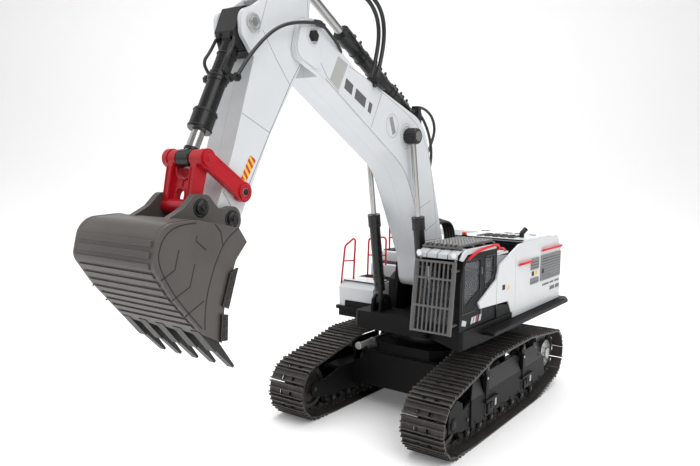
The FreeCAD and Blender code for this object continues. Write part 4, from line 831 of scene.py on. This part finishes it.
# Hoops over the right steps: the (x, z) line, its y, the cross bar's height and where that starts in x.
HOOPS = (
    ([(-89.3, 120.0), (-88.4, 130), (-84.8, 161), (-74.0, 169.6), (-71.6, 168.0), (-73.3, 126)],
     -31, 145.5, -86.7),
    ([(-79.8, 123.5), (-79.3, 150), (-78.8, 165.5), (-74.5, 167.6), (-58.4, 169.4), (-56.2, 166.8),
      (-56.2, 139)], 5, 149.0, None),
    ([(-80.2, 150), (-80.4, 170), (-80.6, 180.5), (-76, 183.4), (-58, 184.6), (-55.8, 182), (-55.8, 151)],
     50, 164.8, None),
)


def rails():
    """Hoops over the right steps, grips on the cover and the bent grip along the cab's roof."""
    bars = Piece("hand_rails_bent", "upper", "red_rail", "red_paint")
    for route, y, mid, start in HOOPS:
        line = eased(route)
        sweep(bars, [pt(p.x, y, p.y) for p in line], 1.0)
        bars.rod(pt(start or line[1].x, y, mid - 1.0), pt(route[-1][0], y, mid + 0.6), 0.8, 12)
    for low, high, z in ((101, 163, 158.5), (36, 71, 150)):
        run = smooth([pt(82.1, low, z - 1), pt(85.4, low + 2.5, z), pt(85.4, high - 2.5, z),
                      pt(82.1, high, z - 1)], 3)
        sweep(bars, run, 1.3)
    roof = [(79.0, -74.0, 165.2), (81.4, -70.5, 168.0), (81.9, -62.0, 171.2), (81.9, -47.0, 173.2),
            (81.9, -20.0, 174.6), (81.4, -11.5, 173.2), (79.6, -9.0, 168.5)]
    sweep(bars, smooth([pt(*p) for p in roof], 3), 1.2)
    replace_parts(bars.done(), "handrails")


def step_details():
    """The first step's recess and pale top, the studs of the cab's roof guard and the hood's front lip."""
    slot = Piece("step_recess", "upper", "groove", "black_moulding")
    slot.block((-86.4, -31.35, 115.4), (-46.6, -30.8, 119.6), 0.3)
    top = Piece("step_top", "upper", "white_cover")
    top.block((-89.4, -30.8, 124.5), (-47.0, -6.0, 125.0), 0.2)
    top.block((-88.9, -32.0, 112.9), (-45.0, -30.9, 114.9), 0.4)
    studs = Piece("roof_guard_studs", "upper", "silver", "guard_alloy")
    dark = Piece("roof_guard_gaps", "upper", "groove", "black_moulding")
    columns, rows = 8, 12
    for i in range(columns):
        x = 40.5 + 4.6 * i
        for j in range(rows):
            y = -80.5 + 5.7 * j + (2.8 if i % 2 else 0)
            studs.block((x + 0.2, y, 178.35), (x + 2.0, y + 1.5, 178.95), 0.2)
            if i < columns - 1:
                dark.block((x + 2.4, y, 176.0), (x + 4.4, y + 3.4, 176.6), 0.1)
    lip = Piece("hood_front_lip", "upper", "black_moulding")
    lip.block((-9.0, 51.2, HOOD_Z), (80.0, 54.6, 172.7))


def deck_details():
    """Tread on the walkways and before the boom, and the bolted blocks beside the boom's foot."""
    tread = Piece("walkway_tread", "upper", "black_moulding")
    for side, low, count in ((1, -40, 40), (-1, 22, 27)):
        x0, x1 = sorted((84.2 * side, 91.6 * side))
        for i in range(count):
            tread.block((x0, low + 5 * i, 96.55), (x1, low + 5 * i + 2.2, 96.95), 0.12)
    for i in range(9):
        tread.block((-28, -60 + 3 * i, 102.9), (28, -58.4 + 3 * i, 103.3), 0.1)
    blocks = Piece("boom_foot_blocks", "upper", "black_moulding")
    for side in SIDES:
        blocks.slab([(-30, 103), (-30, 132), (-20, 138), (-4, 138), (6, 130), (8, 103)], 22.8, 30.0, 0.8,
                    side)
        for y, z in ((-24, 126), (-24, 112), (0, 126), (0, 112)):
            blocks.bolt(pt(30.0 * side, y, z), (side, 0, 0), 1.3, 0.8)


# Sloping tops of the track's side panels: the ends of the lower edge and of the upper edge in y.
SLOPES = ((-78.8, -54.5, -66.0, -54.5), (-44.5, 34.0, -44.5, 34.0), (43.5, 100.0, 43.5, 82.0))


def undercarriage_details():
    """Side panels, steps and slopes, idler covers, the tension tube and the middle under the slew ring."""
    panels = Piece("track_side_panels", "undercarriage", "black_moulding")
    slope = Piece("track_side_slopes", "undercarriage", "worn_black", "black_moulding")
    tube = Piece("track_tension_tube", "undercarriage", "silver", "bright_steel")
    tube.rod(pt(-45.4, -58, 64.6), pt(-45.4, -10, 65.6), 3.0, 28, 0.4)
    for y in (-60.5, -36.0, -10.5):
        tube.rod(pt(-45.4, y, 64.9), pt(-45.4, y + 3.0, 65.0), 3.7, 28, 0.3)
    lugs = Piece("track_side_lugs", "undercarriage", "bright_steel")
    holes = Piece("track_side_recesses", "undercarriage", "groove", "black_moulding")
    for side in SIDES:
        panels.slab([(-78.5, 18.5), (104, 22.6), (100, 42.6), (-78.8, 42.6)], 88.0, 89.5, 0.3, side)
        for low0, low1, high0, high1 in SLOPES:
            slope.loft([[pt(x * side, y, z)
                         for x, y, z in ((88.4, low, 42.0), (89.3, low, 42.6),
                                         (84.2, high, 57.6), (83.2, high, 57.0))]
                        for low, high in ((low0, high0), (low1, high1))])
        panels.slab([(-121, 25.2), (-93, 21.5), (-95.5, 45.0), (-106, 50.5), (-120, 44.0)], 87.6, 89.0, 0.3,
                    side)
        panels.pin(88.8 * side, 90.0 * side, (-111.6, 31.0), 5.6, 28, 0.5)
        holes.slab([(-114.5, 29.0), (-109.5, 28.5), (-108.7, 33.4), (-113.6, 34.0)], 89.8, 90.3, 0.1, side)
        for y in (-53.0, 35.0):
            panels.slab([(y + 2, 36), (y + 7.5, 36), (y + 6.5, 58.5), (y + 2.5, 58.5)], 87.0, 90.6, 0.3, side)
            panels.slab(square(y, y + 27, 33.2, 35.8), 89.3, 92.0, 0.3, side)
            holes.slab(square(y + 1.5, y + 21, 21.6, 33.0), 89.4, 89.8, 0.1, side)
            panels.slab([(y + 5, 22), (y + 10, 22), (y + 10, 31), (y + 5, 31)], 89.6, 91.4, 0.3, side)
            panels.slab([(y + 13, 25), (y + 17, 25), (y + 17, 31), (y + 13, 31)], 89.6, 91.0, 0.3, side)
            lugs.slab(square(y + 23, y + 26.6, 25.0, 32.6), 89.4, 90.4, 0.3, side)
            lugs.pin(88.6 * side, 91.2 * side, (y + 4.6, 55.5), 1.3, 16, 0.2)
        for i in range(9):
            panels.bolt(pt(89.5 * side, -70 + 19.6 * i, 20.6 + 0.3 * i), (side, 0, 0), 1.0, 0.6)
    middle = Piece("undercarriage_middle", "undercarriage", "black_moulding")
    for reach, low, high in ((54.0, 22.0, 58.0), (42.0, 58.0, 69.4)):
        corners = [(-reach, -32), (-reach + 14, -46), (reach - 14, -46), (reach, -32), (reach, 44),
                   (reach - 14, 58), (14 - reach, 58), (-reach, 44)]
        middle.loft([[pt(x * pull, (y - 6) * pull + 6, z) for x, y in corners]
                     for z, pull in ((low, 0.99), (low + 0.6, 1.0), (high - 0.6, 1.0), (high, 0.985))])
    for x in (-46.0, -18.0, 18.0, 46.0):
        middle.block((x - 1.4, -47.4, 24.0), (x + 1.4, -45.8, 56.0), 0.4)
    middle.block((-58.0, -47.6, 56.4), (58.0, -44.0, 59.4), 0.5)


# ---- hoses
def hoses():
    """Deck hoses from body to boom, elbow and loop hoses on the boom, and the hose along the arm."""
    for i in range(4):
        x = -4.8 + 3.4 * i
        route = [(x, 45, 147.5), (x, 45, 160), (x, 44.5, 174), (x, 38, 186), (x, 25, 192.5 - i),
                 (x, 9, 192 - i), (x, -2, 186.5 - i), (x, -9.5, 178 - 2 * i)]
        hose(f"deck_hose_{i + 1}", route, 1.6, ("upper", "boom"),
             nodes=("deck_hoses",) if i == 0 else ())
    elbows = ([(9.5, -60, 297.5), (9.5, -53, 301.5), (9.5, -42.4, 303.5), (9.5, -27, 300.5), (9.5, -16, 294),
               (9.5, -11.5, 284), (9.5, -14.5, 275), (9.5, -21, 265), (9.5, -28, 256), (9.5, -38, 250)],
              [(14.5, -65, 297), (14.5, -57, 298.5), (14.5, -47.8, 294.5), (14.5, -36.5, 284),
               (14.5, -30, 273), (14.5, -26.5, 262), (14.5, -27, 252), (14.5, -29.5, 244), (14.5, -34, 238)])
    for i, route in enumerate(elbows):
        hose(f"elbow_hose_{i + 1}", route, 1.35, ("boom",), nodes=("boom_hoses",) if i == 0 else ())
    for i, x in enumerate((15.6, 19.8)):
        y, z = 1.8 * i - 3.5, 1.5 * i
        route = [(x, -134 + y, 312), (x, -130 + y, 322), (x, -124 + y, 338), (x, -120 + y, 356),
                 (x, -123 + y, 371 + z), (x, -134 + y, 381 + z), (x, -152, 385.5 + z), (x, -175, 386.5 + z),
                 (x, -198, 385 + z), (x - 1.2, -214, 380 + z), (x - 2.2, -224, 372 + z)]
        hose(f"loop_hose_{i + 1}", route, 1.75, ("boom", "arm"))
    route = [(19.8, -293.9, 303), (20.2, -286.6, 313.6), (20.6, -277, 324), (20.8, -265, 334.5),
             (20.9, -252.8, 341.8), (21.0, -238, 346.5), (21.2, -224, 348.8), (21.2, -210, 350.6)]
    hose("arm_hose_line", route, 1.3, ("arm", "boom"), nodes=("arm_hose",))
    hose("boom_tip_line", [(21.2, -212, 351.6), (21.2, -203, 347), (21.0, -194, 341.5), (20.0, -185, 337),
                           (17.4, -180, 334)], 1.2, ("boom",))
    joint = Piece("arm_hose_joint", "boom", "black_metal")
    joint.rod(pt(21.2, -217.5, 350.4), pt(21.2, -206.5, 348.9), 2.1, 6, 0.4)
    joint.rod(pt(21.2, -214.5, 350.2), pt(21.2, -210.0, 349.4), 2.7, 6, 0.5)
    joint.pin(17.6, 23.4, (-211.5, 349.3), 1.2, 12, 0.2)


for details in (boom_details, cylinder_details, arm_details, link_ribs, bucket_details, cover_details,
                far_side_details, cab_roof_details, beacon_details, cab_side_details, rails, step_details,
                deck_details, undercarriage_details, hoses):
    details()
    for piece in list(Piece.waiting):
        piece.done()

# ---- floor, light and camera
CAMERA = (335.9, -606.6, 245.4)         # of the machine's own frame, in mm
YAW, PITCH, ROLL = math.radians(35.78), math.radians(4.73), math.radians(0.83)


def stage():
    """A pale paper sweep: a floor that rises behind the machine, square to the camera."""
    bm = bmesh.new()
    profile = [(-3.0, 0.0), (1.2, 0.0), (1.7, 0.08), (2.05, 0.35), (2.2, 0.8), (2.25, 2.6)]
    fine = smooth(profile, 3)
    rows = [[bm.verts.new((x, p.x, p.y)) for p in fine] for x in (-4.0, 4.0)]
    for i in range(len(fine) - 1):
        bm.faces.new((rows[0][i], rows[1][i], rows[1][i + 1], rows[0][i + 1]))
    mesh = bpy.data.meshes.new("floor")
    bm.to_mesh(mesh)
    bm.free()
    mesh.shade_smooth()
    floor = linked("floor", mesh)
    paper = surface("floor", (0.94, 0.94, 0.94), 0.6, tone=0.005, grain=0.01, tone_scale=3.0)
    paper.inputs["Emission Color"].default_value = (1, 1, 1, 1)
    paper.inputs["Emission Strength"].default_value = 0.10
    mesh.materials.append(M["floor"])
    floor.rotation_euler.z = YAW


def light(name, place, aim, size, power):
    """A soft rectangular lamp; places and size in metres, power in watts."""
    lamp = bpy.data.lights.new(name, "AREA")
    lamp.shape = "RECTANGLE"
    lamp.size, lamp.size_y = size
    lamp.energy = power
    thing = linked(name, lamp)
    thing.location = place
    thing.rotation_euler = (Vector(aim) - Vector(place)).to_track_quat("-Z", "Y").to_euler()


def camera():
    """The photo's view, fitted to it: place, turn, focal length and a small shift."""
    back = Vector((math.sin(YAW) * math.cos(PITCH), -math.cos(YAW) * math.cos(PITCH), math.sin(PITCH)))
    right = (-back).cross(Vector((0, 0, 1))).normalized()
    up = right.cross(-back)
    across = right * math.cos(ROLL) + up * math.sin(ROLL)
    above = up * math.cos(ROLL) - right * math.sin(ROLL)
    turn = Matrix((across, above, back)).transposed()
    data = bpy.data.cameras.new("camera")
    data.lens = 34.52
    data.sensor_width = 36.0
    data.shift_y = -0.0156
    data.clip_start = 0.01
    thing = linked("camera", data)
    thing.matrix_world = Matrix.Translation(pt(*CAMERA)) @ turn.to_4x4()
    bpy.context.scene.camera = thing


stage()
light("key", (1.1, -0.5, 1.3), (0.0, 0.0, 0.15), (1.2, 1.0), 11.0)
light("fill", (-1.5, -0.9, 0.9), (0.0, 0.0, 0.15), (1.4, 1.4), 4.5)
light("top", (-0.2, 0.3, 1.9), (0.0, 0.0, 0.0), (2.0, 2.0), 34.0)
camera()
world = bpy.data.worlds.new("studio")
bpy.context.scene.world = world
world.use_nodes = True
sky = world.node_tree.nodes["Background"]
sky.inputs["Color"].default_value = (1, 1, 1, 1)
sky.inputs["Strength"].default_value = 0.45
bpy.context.scene.view_settings.view_transform = "Standard"
